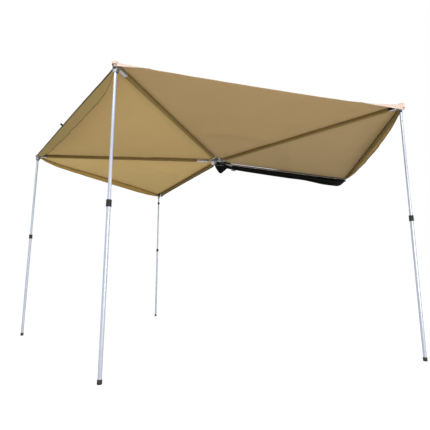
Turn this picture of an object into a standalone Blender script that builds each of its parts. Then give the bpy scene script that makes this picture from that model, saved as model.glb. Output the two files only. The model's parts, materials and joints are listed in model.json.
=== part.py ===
"""Free-standing wrap-round vehicle awning: a roof-rack rail, four arms on one hub pin, legs and a canopy.

The origin is on the underside of the middle rack bracket's foot, where it rests on the roof rack.
+X runs along the rail away from the hub, +Y points to the vehicle and +Z points up.
"""

import math

import bmesh
import bpy
import numpy as np

# Overall layout
RAIL_LENGTH = 2.050
HUB_TO_RAIL_END = 0.150
HUB_TO_RAIL_FRONT = 0.095
ARM_REACH = 2.190
ARM_STEP = math.radians(65.75)
LEG_LENGTH = 2.084
ARM_NAMES = ("a", "b", "c", "d")

# Clearances
GAP = 0.0003
SLIDE_CLEARANCE = 0.0004

# How finely round shapes are drawn
ROUND_SIDES = 20
SMALL_ROUND_SIDES = 16
EYE_SIDES = 28
DISC_SIDES = 36

# Arm tubes, and the fabric sleeves round them
ARM_WIDTH = 0.028
ARM_WALL = 0.002
ARM_CORNER = 0.003
ARM_START = 0.090
ARM_PAST_PIVOT = 0.018
ARM_PITCH = 0.042
SLEEVE_CLOTH = 0.0012
SLEEVE_SIDE = 0.0027
SLEEVE_START = 0.120
SLEEVE_SHORT_OF_TIP = 0.130

# Hub pin, its bushes and the knuckle on each arm
PIN_RADIUS = 0.008
KNUCKLE_PLATE = 0.0055
KNUCKLE_EYE_RADIUS = 0.021
KNUCKLE_NECK = 0.068
KNUCKLE_CRANK = 0.016
KNUCKLE_PLUG_END = 0.150
BUSH_RADIUS = 0.018
BUSH_LENGTH = 0.0042
HUB_PLATE = 0.0045
HUB_DISC_RADIUS = 0.045
HUB_PLATE_CORNER = 0.008
HUB_PLATE_ON_RAIL = 0.120
HEX_ACROSS_FLATS = 0.024
PIN_HEAD = 0.010
NUT_HEIGHT = 0.013
PIN_END_PAST_NUT = 0.004

# Rail extrusion
RAIL_DEPTH = 0.030
RAIL_WALL = 0.0026
TRACK_RADIUS = 0.0042
TRACK_MOUTH = 0.0032
SLOT_MOUTH = 0.0086
SLOT_INSIDE = 0.0140
SLOT_DEPTH = 0.0080
SLOT_LIP = 0.0024
RAIL_CAP = 0.012
RAIL_CAP_PROUD = 0.002
RAIL_CAP_DROP = 0.008
RAIL_CAP_CORNER = 0.008
RAIL_CAP_EDGE = 0.003

# Rack brackets
BRACKET_COUNT = 3
BRACKET_FROM_RAIL_END = 0.205
BRACKET_WIDTH = 0.060
BRACKET_PLATE = 0.005
BRACKET_FOOT = 0.090
BRACKET_HEIGHT = 0.062
BRACKET_BEND = 0.004
BRACKET_SLOT_WIDTH = 0.009
BRACKET_SLOT_LENGTH = 0.050
BRACKET_SLOT_PITCH = 0.034
BRACKET_BACK_SLOT_LENGTH = 0.026
FOOT_TO_ARM_LINE = 0.036

# Leg pivot at the arm's tip
PIVOT_DROP = 0.038
EAR_PLATE = 0.003
EAR_RADIUS = 0.014
EAR_TOP = 0.009
TIP_BRACKET_BACK = 0.035
PIVOT_RADIUS = 0.005
PIVOT_HEAD_RADIUS = 0.008
PIVOT_HEAD = 0.0023
LEG_HEAD_RADIUS = 0.013
LEG_HEAD_DROP = 0.020
LEG_HEAD_STEM = 0.045
TIP_CAP_PLATE = 0.003
TIP_CAP_EDGE = 0.0008
TIP_CAP_PLUG = 0.0215

# Telescopic leg
UPPER_TUBE_RADIUS = 0.012
UPPER_TUBE_WALL = 0.0012
LOWER_TUBE_WALL = 0.0016
COLLAR_HEIGHT_ABOVE_GROUND = 1.124
COLLAR_LENGTH = 0.047
COLLAR_WALL = 0.0042
COLLAR_LIP = 0.012
COLLAR_FLUTES = 14
COLLAR_FLUTE_DEPTH = 0.0006
POINTS_PER_FLUTE = 4
TUBE_OVERLAP = 0.220
SHOE_HEIGHT = 0.030
SHOE_WALL = 0.0016
SHOE_SOLE = 0.010
SHOE_EDGE = 0.003

# Canopy cloth
CLOTH = 0.0012
CLOTH_ABOVE_SLEEVE = 0.0015
CLOTH_ABOVE_HUB_PLATE = 0.0012
CLOTH_PAST_HUB_PLATE = 0.045
CLOTH_RISE_RUN = 0.120
CLOTH_INNER = 0.050
RAIL_CLOTH_START = 0.076
CLOTH_PAST_PIVOT = 0.045
CLOTH_SEAM = 0.0008
CLOTH_SAG = 0.026
CLOTH_ROWS = 9
CLOTH_COLUMNS = 12
RAIL_CLOTH_INSET = 0.006

# Valance along each outer edge: its drop at mid-span, and how it hangs there and at the corners
VALANCE_ROWS = 3
VALANCE_CORNER = 0.030
VALANCE_LEAN = math.radians(7)
VALANCE_DROPS = (0.140, 0.120, 0.150, 0.090)
VALANCE_END_CURVE = 0.4
VALANCE_FOLD = 0.007
VALANCE_FOLDS = 5
TURNED_UP_PANEL = 1
TURNED_UP_CORNER = math.radians(200)
TURNED_UP_MIDDLE = math.radians(266)
TURNED_UP_LIFT = 0.006
TURN_EASE = 0.5
LIFT_EASE = 0.25

# Travel bag, hanging open below the rail
BAG_DROP = 0.096
BAG_START = 0.170
BAG_TOP_THICKNESS = 0.008
BAG_SWELL = 0.026
BAG_END_RUN = 0.120
BAG_END_DROP = 0.040
BAG_STATIONS = 14
BAG_RING_DEPTHS = (0.0, 0.3, 0.6, 0.8, 0.93)
BAG_FALL = 2.4
BAG_RIPPLE = 0.05
BAG_RIPPLE_LENGTH = 0.700

# Loose flap at the bag's hub end. Its lower edge is given as (past the hub pin, below the arms).
FLAP_CLOTH = 0.003
FLAP_SETBACK = 0.0035
FLAP_NEAR = 0.011
FLAP_ON_BAG = 0.022
FLAP_AT_BAG = 0.090
FLAP_EDGE = ((0.115, 0.138), (0.078, 0.150), (0.058, 0.132))

# Sizes that follow from those above
ARM_Z = FOOT_TO_ARM_LINE
RAIL_BACK_Y = -BRACKET_FOOT / 2 - GAP
RAIL_FRONT_Y = RAIL_BACK_Y - RAIL_DEPTH
HUB_X = -RAIL_LENGTH / 2 - HUB_TO_RAIL_END
HUB_Y = RAIL_FRONT_Y - HUB_TO_RAIL_FRONT
STACK_PITCH = KNUCKLE_PLATE + GAP
STACK_HALF = (len(ARM_NAMES) * STACK_PITCH - GAP) / 2
HUB_INNER = STACK_HALF + BUSH_LENGTH + 2 * GAP
HUB_OUTER = HUB_INNER + HUB_PLATE
RAIL_HALF_HEIGHT = HUB_INNER - GAP
BRACKET_SPACING = (RAIL_LENGTH - 2 * BRACKET_FROM_RAIL_END) / (BRACKET_COUNT - 1)
PIN_BORE = PIN_RADIUS + GAP
PLUG_WIDTH = ARM_WIDTH - 2 * ARM_WALL - 2 * GAP
PLUG_EDGE = ARM_CORNER / 2
ARM_TIP = ARM_REACH + ARM_PAST_PIVOT
SLEEVE_HALF_HEIGHT = ARM_WIDTH / 2 + GAP + SLEEVE_CLOTH
SLEEVE_WIDTH = ARM_WIDTH + 2 * (GAP + SLEEVE_SIDE)
EAR_INNER = ARM_WIDTH / 2 + GAP
EAR_OUTER = EAR_INNER + EAR_PLATE
LOWER_BORE_RADIUS = UPPER_TUBE_RADIUS + SLIDE_CLEARANCE
LOWER_TUBE_RADIUS = LOWER_BORE_RADIUS + LOWER_TUBE_WALL
COLLAR_BORE_RADIUS = LOWER_TUBE_RADIUS + GAP
COLLAR_RADIUS = COLLAR_BORE_RADIUS + COLLAR_WALL
COLLAR_TOP_Z = COLLAR_HEIGHT_ABOVE_GROUND + COLLAR_LENGTH / 2 - LEG_LENGTH
LOWER_TUBE_TOP_Z = COLLAR_TOP_Z - COLLAR_LIP - GAP
SHOE_BOTTOM_Z = -LEG_LENGTH
CLOTH_Z = SLEEVE_HALF_HEIGHT + CLOTH_ABOVE_SLEEVE
HUB_CLOTH_Z = HUB_OUTER + CLOTH_ABOVE_HUB_PLATE
PLATE_REACH = math.hypot(HUB_TO_RAIL_END + HUB_PLATE_ON_RAIL, HUB_TO_RAIL_FRONT + RAIL_DEPTH)
CLOTH_RISE_START = PLATE_REACH + CLOTH_PAST_HUB_PLATE
CLOTH_RISE_END = CLOTH_RISE_START + CLOTH_RISE_RUN

# An outline drawn across a piece turns so that it runs along the arm, or across it
ALONG_ARM = (math.pi / 2, 0, math.pi / 2)
ACROSS_ARM = (math.pi / 2, 0, 0)

for old in list(bpy.data.objects):
    bpy.data.objects.remove(old, do_unlink=True)

parts = bpy.data.collections.new("vehicle_side_awning")
cutters = bpy.data.collections.new("cutters")
bpy.context.scene.collection.children.link(parts)
bpy.context.scene.collection.children.link(cutters)


def finish(name, colour, roughness, metallic=0.0):
    """A plain Principled material for one kind of sub-part."""
    made = bpy.data.materials.new(name)
    made.use_nodes = True
    shader = made.node_tree.nodes["Principled BSDF"]
    shader.inputs["Base Color"].default_value = (*colour, 1.0)
    shader.inputs["Roughness"].default_value = roughness
    shader.inputs["Metallic"].default_value = metallic
    return made


RAIL_FINISH = finish("rail_anodised_aluminium", (0.62, 0.63, 0.64), 0.38, 1.0)
ARM_FINISH = finish("arm_tube_aluminium", (0.66, 0.67, 0.68), 0.34, 1.0)
LEG_FINISH = finish("leg_tube_aluminium", (0.72, 0.74, 0.77), 0.30, 1.0)
KNUCKLE_FINISH = finish("knuckle_cast_aluminium", (0.50, 0.51, 0.52), 0.48, 1.0)
PLATE_FINISH = finish("hub_plate_zinc_steel", (0.46, 0.47, 0.48), 0.42, 1.0)
BOLT_FINISH = finish("bolt_zinc_steel", (0.58, 0.58, 0.57), 0.35, 1.0)
BUSH_FINISH = finish("bush_nylon", (0.80, 0.79, 0.74), 0.50)
BRACKET_FINISH = finish("rack_bracket_black_steel", (0.03, 0.03, 0.03), 0.45)
BLACK_NYLON_FINISH = finish("fitting_black_nylon", (0.022, 0.022, 0.024), 0.45)
RUBBER_FINISH = finish("shoe_rubber", (0.018, 0.018, 0.018), 0.75)
CANOPY_FINISH = finish("canopy_canvas", (0.36, 0.26, 0.13), 0.85)
SLEEVE_FINISH = finish("sleeve_canvas", (0.18, 0.12, 0.03), 0.88)
BAG_FINISH = finish("bag_coated_fabric", (0.02, 0.02, 0.022), 0.55)


def arc(radius, centre, first, last, steps):
    """Points along an arc, from one angle in degrees to another, both ends included."""
    turns = [math.radians(first + (last - first) * k / steps) for k in range(steps + 1)]
    return [(centre[0] + radius * math.cos(t), centre[1] + radius * math.sin(t)) for t in turns]


def circle(radius, centre=(0.0, 0.0), sides=ROUND_SIDES):
    """A closed outline of points evenly spaced on a circle."""
    half_side = 180 / sides
    return arc(radius, centre, half_side, 360 - half_side, sides - 1)


def rounded_box(width, height, radius, centre=(0.0, 0.0), steps=3):
    """A rectangle with round corners, as one closed outline."""
    outline = []
    for side_x, side_y, first in ((1, 1, 0), (-1, 1, 90), (-1, -1, 180), (1, -1, 270)):
        middle_x = centre[0] + side_x * (width / 2 - radius)
        middle_y = centre[1] + side_y * (height / 2 - radius)
        outline += arc(radius, (middle_x, middle_y), first, first + 90, steps)
    return outline


def slot(width, length, centre=(0.0, 0.0), steps=6):
    """A slot that runs along Y: two half circles joined by straight sides."""
    run = (length - width) / 2
    upper = arc(width / 2, (centre[0], centre[1] + run), 0, 180, steps)
    return upper + arc(width / 2, (centre[0], centre[1] - run), 180, 360, steps)


def hull(points):
    """The convex outline round some points, anticlockwise, without corners that hardly turn."""
    tolerance = 1e-12
    ordered = sorted(set(points))

    def chain(run):
        kept = []
        for x, y in run:
            while len(kept) > 1:
                (ax, ay), (bx, by) = kept[-2:]
                if (bx - ax) * (y - ay) - (by - ay) * (x - ax) > tolerance:
                    break
                kept.pop()
            kept.append((x, y))
        return kept[:-1]

    return chain(ordered) + chain(reversed(ordered))


def adopt(obj, surface, parent, location, rotation):
    """Puts a new object in the part's collection, with its finish and its place under its parent."""
    parts.objects.link(obj)
    if surface:
        obj.data.materials.append(surface)
    obj.parent = parent
    obj.location = location
    obj.rotation_euler = rotation
    return obj


def from_bmesh(name, shape, surface, parent=None, location=(0, 0, 0), rotation=(0, 0, 0)):
    """An object from a bmesh, which is used up."""
    mesh = bpy.data.meshes.new(name)
    shape.to_mesh(mesh)
    shape.free()
    return adopt(bpy.data.objects.new(name, mesh), surface, parent, location, rotation)


def extruded(name, outlines, length, surface, parent=None, location=(0, 0, 0), rotation=(0, 0, 0)):
    """A flat outline, with any holes as further outlines, given a length along its own Z and centred."""
    curve = bpy.data.curves.new(name, "CURVE")
    curve.dimensions = "2D"
    curve.fill_mode = "BOTH"
    curve.extrude = length / 2
    for outline in outlines:
        spline = curve.splines.new("POLY")
        spline.points.add(len(outline) - 1)
        for point, (x, y) in zip(spline.points, outline):
            point.co = (x, y, 0, 1)
        spline.use_cyclic_u = True
    drawn = bpy.data.objects.new(name + "_outline", curve)
    parts.objects.link(drawn)
    graph = bpy.context.evaluated_depsgraph_get()
    mesh = bpy.data.meshes.new_from_object(drawn.evaluated_get(graph))
    bpy.data.objects.remove(drawn, do_unlink=True)
    shape = bmesh.new()
    shape.from_mesh(mesh)
    bpy.data.meshes.remove(mesh)
    bmesh.ops.remove_doubles(shape, verts=shape.verts, dist=1e-6)
    bmesh.ops.recalc_face_normals(shape, faces=shape.faces)
    return from_bmesh(name, shape, surface, parent, location, rotation)


def block(name, size, surface, parent=None, location=(0, 0, 0), edge=0.0):
    """A rectangular block centred on its location, with its edges rounded off if an edge is given."""
    shape = bmesh.new()
    bmesh.ops.create_cube(shape, size=1.0)
    bmesh.ops.scale(shape, vec=size, verts=shape.verts)
    obj = from_bmesh(name, shape, surface, parent, location)
    if edge:
        add_bevel(obj, edge)
    return obj


def add_bevel(obj, width, segments=1):
    bevel = obj.modifiers.new("edges", "BEVEL")
    bevel.width = width
    bevel.segments = segments
    bevel.limit_method = "ANGLE"
    bevel.angle_limit = math.radians(50)


def turned(name, profile, surface, parent=None, location=(0, 0, 0), rotation=(0, 0, 0)):
    """A profile of (radius, height) points turned about Z. It runs down its outer side, top to bottom."""
    mesh = bpy.data.meshes.new(name)
    edges = [(k, k + 1) for k in range(len(profile) - 1)]
    mesh.from_pydata([(radius, 0, height) for radius, height in profile], edges, [])
    obj = adopt(bpy.data.objects.new(name, mesh), surface, parent, location, rotation)
    screw = obj.modifiers.new("turn", "SCREW")
    screw.steps = ROUND_SIDES
    screw.render_steps = ROUND_SIDES
    screw.use_merge_vertices = True
    screw.merge_threshold = 0.00001
    return obj


def combine(target, other, operation):
    """Joins a helper solid to a piece, or cuts it away. The helper stays behind, unseen."""
    parts.objects.unlink(other)
    cutters.objects.link(other)
    other.hide_render = True
    other.display_type = "WIRE"
    joined = target.modifiers.new(operation.lower(), "BOOLEAN")
    joined.operation = operation
    joined.solver = "EXACT"
    joined.object = other


def axis_empty(name, parent, location, turn=0.0):
    """An empty on a joint's axis, which carries the pieces that move about it."""
    empty = bpy.data.objects.new(name, None)
    empty.empty_display_size = 0.05
    parts.objects.link(empty)
    empty.parent = parent
    empty.location = location
    empty.rotation_euler = (0, 0, turn)
    return empty


# Where each arm points at rest, seen from above, and how far it stands off the hub pin's own line
ARM_TURNS = [-ARM_STEP * (k + 1) for k in range(len(ARM_NAMES))]
ARM_OFFSETS = [ARM_PITCH * ((len(ARM_NAMES) - 1) / 2 - k) for k in range(len(ARM_NAMES))]
KNUCKLE_LEVELS = [STACK_PITCH * ((len(ARM_NAMES) - 1) / 2 - k) for k in range(len(ARM_NAMES))]

hub = axis_empty("hub_pin_axis", None, (HUB_X, HUB_Y, ARM_Z))
rail_centre = axis_empty("rail_centre", None, (0, (RAIL_FRONT_Y + RAIL_BACK_Y) / 2, ARM_Z))


def track(side_y, centre_z, steps=6):
    """The outline of a round welt track that opens on a rail face, walked from its lower lip to its upper."""
    face_y = side_y * RAIL_DEPTH / 2
    lip = math.asin(TRACK_MOUTH / 2 / TRACK_RADIUS)
    middle_y = face_y - side_y * TRACK_RADIUS * math.cos(lip) - side_y * SLOT_LIP / 2
    points = [(face_y, centre_z - TRACK_MOUTH / 2)]
    for k in range(steps + 1):
        turn = -lip - (2 * math.pi - 2 * lip) * k / steps
        y = middle_y + side_y * TRACK_RADIUS * math.cos(turn)
        points.append((y, centre_z + TRACK_RADIUS * math.sin(turn)))
    points.append((face_y, centre_z + TRACK_MOUTH / 2))
    return points


def make_rail():
    """Extruded rail: a welt track high and low on the front, and a bolt slot along the back."""
    half_y = RAIL_DEPTH / 2
    half_z = RAIL_HALF_HEIGHT
    track_z = half_z - TRACK_RADIUS - RAIL_WALL
    front_low = track(-1, -track_z)
    front_high = track(-1, track_z)
    bolt_slot = [
        (half_y, SLOT_MOUTH / 2),
        (half_y - SLOT_LIP, SLOT_MOUTH / 2),
        (half_y - SLOT_LIP, SLOT_INSIDE / 2),
        (half_y - SLOT_DEPTH, SLOT_INSIDE / 2),
    ]
    bolt_slot += [(y, -z) for y, z in reversed(bolt_slot)]
    outline = [(half_y, -half_z), (-half_y, -half_z)] + front_low + front_high
    outline += [(-half_y, half_z), (half_y, half_z)] + bolt_slot
    chamber_front = -half_y + 2 * TRACK_RADIUS + 2 * RAIL_WALL
    chamber_back = half_y - SLOT_DEPTH - RAIL_WALL
    chamber = rounded_box(
        chamber_back - chamber_front,
        2 * (half_z - RAIL_WALL),
        RAIL_WALL / 2,
        ((chamber_front + chamber_back) / 2, 0),
        steps=2,
    )
    profile = [outline, chamber]
    extruded("mounting_rail", profile, RAIL_LENGTH, RAIL_FINISH, rail_centre, rotation=ALONG_ARM)
    cap_width = RAIL_DEPTH + 2 * RAIL_CAP_PROUD
    cap_height = 2 * RAIL_HALF_HEIGHT + 2 * RAIL_CAP_PROUD + RAIL_CAP_DROP
    cap_outline = rounded_box(cap_width, cap_height, RAIL_CAP_CORNER, (0, -RAIL_CAP_DROP / 2), steps=4)
    where = (RAIL_LENGTH / 2 + GAP + RAIL_CAP / 2, 0, 0)
    cap = extruded("rail_end_cap", [cap_outline], RAIL_CAP, BLACK_NYLON_FINISH, rail_centre, where, ALONG_ARM)
    add_bevel(cap, RAIL_CAP_EDGE, 2)


def make_rack_brackets():
    """Bent steel angles, bolted into the rail's back slot, whose feet lie on the roof rack."""
    back = BRACKET_FOOT / 2
    bend_out = BRACKET_BEND + BRACKET_PLATE
    bend_centre = (-back + bend_out, bend_out)
    outer = arc(bend_out, bend_centre, 180, 270, 4)
    inner = arc(BRACKET_BEND, bend_centre, 180, 270, 4)
    profile = [(-back, BRACKET_HEIGHT)] + outer + [(back, 0), (back, BRACKET_PLATE)]
    profile += inner[::-1] + [(-back + BRACKET_PLATE, BRACKET_HEIGHT)]
    cut_depth = 4 * BRACKET_PLATE
    for k in range(BRACKET_COUNT):
        x = BRACKET_SPACING * (k - (BRACKET_COUNT - 1) / 2)
        name = "rack_bracket_" + ("hub", "mid", "far")[k]
        angle = extruded(name, [profile], BRACKET_WIDTH, BRACKET_FINISH, None, (x, 0, 0), ALONG_ARM)
        for side, across in (("near", -BRACKET_SLOT_PITCH / 2), ("far", BRACKET_SLOT_PITCH / 2)):
            foot_slot = slot(BRACKET_SLOT_WIDTH, BRACKET_SLOT_LENGTH, (across, bend_out / 2))
            cut = extruded(f"{name}_slot_{side}", [foot_slot], cut_depth, None, None, (x, 0, 0))
            combine(angle, cut, "DIFFERENCE")
        back_slot = slot(BRACKET_SLOT_WIDTH, BRACKET_BACK_SLOT_LENGTH)
        where = (x, -back, FOOT_TO_ARM_LINE)
        cut = extruded(f"{name}_back_slot", [back_slot], cut_depth, None, None, where, ACROSS_ARM)
        combine(angle, cut, "DIFFERENCE")


def make_hub():
    """Two plates clamp the rail's end and carry the pin that all four knuckles turn on."""
    rail_near = HUB_TO_RAIL_END
    corners = [
        (HUB_PLATE_CORNER, HUB_TO_RAIL_FRONT + RAIL_DEPTH / 2),
        (rail_near + HUB_PLATE_ON_RAIL, HUB_TO_RAIL_FRONT + RAIL_DEPTH - HUB_PLATE_CORNER),
        (rail_near + HUB_PLATE_ON_RAIL, HUB_TO_RAIL_FRONT + HUB_PLATE_CORNER),
    ]
    edge_points = circle(HUB_DISC_RADIUS, sides=DISC_SIDES)
    for corner in corners:
        edge_points += circle(HUB_PLATE_CORNER, corner, sides=SMALL_ROUND_SIDES)
    outline = hull(edge_points)
    for name, side in (("hub_plate_upper", 1), ("hub_plate_lower", -1)):
        level = side * (HUB_INNER + HUB_PLATE / 2)
        extruded(name, [outline, circle(PIN_BORE)], HUB_PLATE, PLATE_FINISH, hub, (0, 0, level))
    for name, side in (("hub_bush_upper", 1), ("hub_bush_lower", -1)):
        level = side * (STACK_HALF + GAP + BUSH_LENGTH / 2)
        extruded(name, [circle(BUSH_RADIUS), circle(PIN_BORE)], BUSH_LENGTH, BUSH_FINISH, hub, (0, 0, level))
    hexagon = circle(HEX_ACROSS_FLATS / 2 / math.cos(math.pi / 6), sides=6)
    head_middle = HUB_OUTER + GAP + PIN_HEAD / 2
    nut_middle = -HUB_OUTER - GAP - NUT_HEIGHT / 2
    pin_end = nut_middle - NUT_HEIGHT / 2 - PIN_END_PAST_NUT
    shank = [(0, head_middle), (PIN_RADIUS, head_middle), (PIN_RADIUS, pin_end), (0, pin_end)]
    pin = turned("hub_pin", shank, BOLT_FINISH, hub)
    head = extruded("hub_pin_head", [hexagon], PIN_HEAD, None, hub, (0, 0, head_middle))
    combine(pin, head, "UNION")
    extruded("hub_nut", [hexagon, circle(PIN_BORE)], NUT_HEIGHT, BOLT_FINISH, hub, (0, 0, nut_middle))


def make_knuckle(name, arm, offset, level):
    """Cast knuckle: a flat eye at its own level on the pin, cranked to a square plug inside the arm."""
    half = PLUG_WIDTH / 2
    crank_end = KNUCKLE_NECK + KNUCKLE_CRANK
    side_view = hull(
        [(KNUCKLE_NECK, level + side * KNUCKLE_PLATE / 2) for side in (-1, 1)]
        + [(x, side * half) for x in (crank_end, KNUCKLE_PLUG_END) for side in (-1, 1)]
    )
    plug = extruded(
        f"arm_{name}_knuckle", [side_view], PLUG_WIDTH, KNUCKLE_FINISH, arm, (0, offset, 0), ACROSS_ARM
    )
    add_bevel(plug, PLUG_EDGE)
    sides = [offset - half + PLUG_EDGE, offset + half - PLUG_EDGE]
    shoulders = [(x, y) for x in (KNUCKLE_NECK, crank_end) for y in sides]
    plan = [hull(circle(KNUCKLE_EYE_RADIUS, sides=EYE_SIDES) + shoulders), circle(PIN_BORE)]
    eye = extruded(f"knuckle_{name}_eye", plan, KNUCKLE_PLATE, None, arm, (0, 0, level))
    combine(plug, eye, "UNION")


def make_arm(name, arm, offset):
    """Square tube with its sleeve, tip bracket and end cap."""
    inside = ARM_WIDTH - 2 * ARM_WALL
    tube = [
        rounded_box(ARM_WIDTH, ARM_WIDTH, ARM_CORNER),
        rounded_box(inside, inside, ARM_CORNER - ARM_WALL),
    ]
    where = ((ARM_START + ARM_TIP) / 2, offset, 0)
    extruded(f"arm_{name}_tube", tube, ARM_TIP - ARM_START, ARM_FINISH, arm, where, ALONG_ARM)
    bore = ARM_WIDTH + 2 * GAP
    sleeve = [
        rounded_box(SLEEVE_WIDTH, 2 * SLEEVE_HALF_HEIGHT, ARM_CORNER + SLEEVE_CLOTH),
        rounded_box(bore, bore, ARM_CORNER),
    ]
    sleeve_end = ARM_REACH - SLEEVE_SHORT_OF_TIP
    sleeve_length = sleeve_end - SLEEVE_START
    where = ((SLEEVE_START + sleeve_end) / 2, offset, 0)
    extruded(f"arm_{name}_sleeve", sleeve, sleeve_length, SLEEVE_FINISH, arm, where, ALONG_ARM)
    make_tip_bracket(name, arm, offset)
    cap_middle = ARM_TIP + GAP + TIP_CAP_PLATE / 2
    cap = block(
        f"arm_{name}_end_cap",
        (TIP_CAP_PLATE, ARM_WIDTH, ARM_WIDTH),
        BLACK_NYLON_FINISH,
        arm,
        (cap_middle, offset, 0),
        TIP_CAP_EDGE,
    )
    plug_size = (TIP_CAP_PLUG, PLUG_WIDTH, PLUG_WIDTH)
    where = (cap_middle - TIP_CAP_PLUG / 2, offset, 0)
    plug = block(f"end_cap_{name}_plug", plug_size, None, arm, where, PLUG_EDGE)
    combine(cap, plug, "UNION")


def make_tip_bracket(name, arm, offset):
    """Saddle bolted under the arm's tip: two ears straddle the leg's head, joined by a web below the tube."""
    outline = hull(
        circle(EAR_RADIUS, (0, -PIVOT_DROP))
        + [(-TIP_BRACKET_BACK, z) for z in (EAR_TOP, -EAR_OUTER)]
        + [(ARM_PAST_PIVOT, z) for z in (EAR_TOP, -EAR_OUTER)]
    )
    saddle = extruded(
        f"arm_{name}_tip_bracket",
        [outline, circle(PIVOT_RADIUS + GAP, (0, -PIVOT_DROP), sides=SMALL_ROUND_SIDES)],
        2 * EAR_OUTER,
        ARM_FINISH,
        arm,
        (ARM_REACH, offset, 0),
        ACROSS_ARM,
    )
    length = 4 * TIP_BRACKET_BACK
    depth = 2 * PIVOT_DROP
    for where, centre_z in (("tube", depth / 2 - EAR_INNER), ("leg", -EAR_OUTER - depth / 2)):
        size = (length, 2 * EAR_INNER, depth)
        cut = block(f"tip_{name}_{where}_space", size, None, arm, (ARM_REACH, offset, centre_z))
        combine(saddle, cut, "DIFFERENCE")


def make_leg(name, fold):
    """Telescopic leg hanging from its pivot: head, upper tube, lower tube, collar and shoe."""
    half_pin = EAR_OUTER + GAP
    head_end = half_pin + PIVOT_HEAD
    turned(
        f"leg_{name}_pivot_pin",
        [
            (0, head_end),
            (PIVOT_HEAD_RADIUS, head_end),
            (PIVOT_HEAD_RADIUS, half_pin),
            (PIVOT_RADIUS, half_pin),
            (PIVOT_RADIUS, -half_pin),
            (PIVOT_HEAD_RADIUS, -half_pin),
            (PIVOT_HEAD_RADIUS, -head_end),
            (0, -head_end),
        ],
        BOLT_FINISH,
        fold.parent,
        fold.location,
        ACROSS_ARM,
    )
    tube_sides = [(side * UPPER_TUBE_RADIUS, -LEG_HEAD_DROP) for side in (-1, 1)]
    head_outline = hull(circle(LEG_HEAD_RADIUS) + tube_sides)
    head = extruded(
        f"leg_{name}_head",
        [head_outline, circle(PIVOT_RADIUS + GAP, sides=SMALL_ROUND_SIDES)],
        ARM_WIDTH,
        BLACK_NYLON_FINISH,
        fold,
        rotation=ACROSS_ARM,
    )
    stem_radius = UPPER_TUBE_RADIUS - UPPER_TUBE_WALL - GAP
    stem_end = -LEG_HEAD_DROP - LEG_HEAD_STEM
    stem_top = -LEG_HEAD_DROP + UPPER_TUBE_WALL
    where = (0, 0, (stem_top + stem_end) / 2)
    stem = extruded(f"leg_{name}_head_stem", [circle(stem_radius)], stem_top - stem_end, None, fold, where)
    combine(head, stem, "UNION")
    upper_top = -LEG_HEAD_DROP - GAP
    upper_end = LOWER_TUBE_TOP_Z - TUBE_OVERLAP
    upper = [circle(UPPER_TUBE_RADIUS), circle(UPPER_TUBE_RADIUS - UPPER_TUBE_WALL)]
    where = (0, 0, (upper_top + upper_end) / 2)
    extruded(f"leg_{name}_upper_tube", upper, upper_top - upper_end, LEG_FINISH, fold, where)
    lower_end = SHOE_BOTTOM_Z + SHOE_SOLE + GAP
    lower = [circle(LOWER_TUBE_RADIUS), circle(LOWER_BORE_RADIUS)]
    where = (0, 0, (LOWER_TUBE_TOP_Z + lower_end) / 2)
    extruded(f"leg_{name}_lower_tube", lower, LOWER_TUBE_TOP_Z - lower_end, LEG_FINISH, fold, where)
    make_collar(name, fold)
    make_shoe(name, fold)


def make_collar(name, fold):
    """Twist-lock collar: a fluted grip over the lower tube's mouth, lipped onto the upper tube."""
    grip = []
    points = POINTS_PER_FLUTE * COLLAR_FLUTES
    for k in range(points):
        turn = 2 * math.pi * k / points
        reach = COLLAR_RADIUS - COLLAR_FLUTE_DEPTH * (1 - math.cos(COLLAR_FLUTES * turn)) / 2
        grip.append((reach * math.cos(turn), reach * math.sin(turn)))
    collar = extruded(
        f"leg_{name}_lock_collar",
        [grip, circle(LOWER_BORE_RADIUS)],
        COLLAR_LENGTH,
        BLACK_NYLON_FINISH,
        fold,
        (0, 0, COLLAR_TOP_Z - COLLAR_LENGTH / 2),
    )
    socket_top = COLLAR_TOP_Z - COLLAR_LIP
    where = (0, 0, socket_top - COLLAR_LENGTH / 2)
    socket = extruded(f"collar_{name}_socket", [circle(COLLAR_BORE_RADIUS)], COLLAR_LENGTH, None, fold, where)
    combine(collar, socket, "DIFFERENCE")


def make_shoe(name, fold):
    """Rubber shoe pushed over the lower tube's end, flat below where it stands on the ground."""
    bore = LOWER_TUBE_RADIUS + GAP
    outer = bore + SHOE_WALL
    top = SHOE_BOTTOM_Z + SHOE_HEIGHT
    inside = [(0, SHOE_BOTTOM_Z + SHOE_SOLE), (bore, SHOE_BOTTOM_Z + SHOE_SOLE), (bore, top)]
    rim = [(outer - SHOE_WALL / 2, top), (outer, top - SHOE_WALL / 2)]
    heel = arc(SHOE_EDGE, (outer - SHOE_EDGE, SHOE_BOTTOM_Z + SHOE_EDGE), 0, -90, 2)
    turned(f"leg_{name}_shoe", inside + rim + heel + [(0, SHOE_BOTTOM_Z)], RUBBER_FINISH, fold)


def arm_point(index, radius, sideways=0.0):
    """A place on an arm's centre line, measured from the hub pin, with a shift to the arm's leading side."""
    turn = ARM_TURNS[index]
    along = np.array([math.cos(turn), math.sin(turn)])
    across = np.array([-math.sin(turn), math.cos(turn)])
    return radius * along + (ARM_OFFSETS[index] + sideways) * across


def cloth_height(point, sag):
    """The cloth lies on the sleeves, sags between them, and rises over the hub's upper plate."""
    reach = float(np.linalg.norm(point))
    share = min(1.0, max(0.0, (reach - CLOTH_RISE_START) / CLOTH_RISE_RUN))
    clear_of_hub = share * share * (3 - 2 * share)
    return HUB_CLOTH_Z * (1 - clear_of_hub) + (CLOTH_Z - sag) * clear_of_hub


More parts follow.
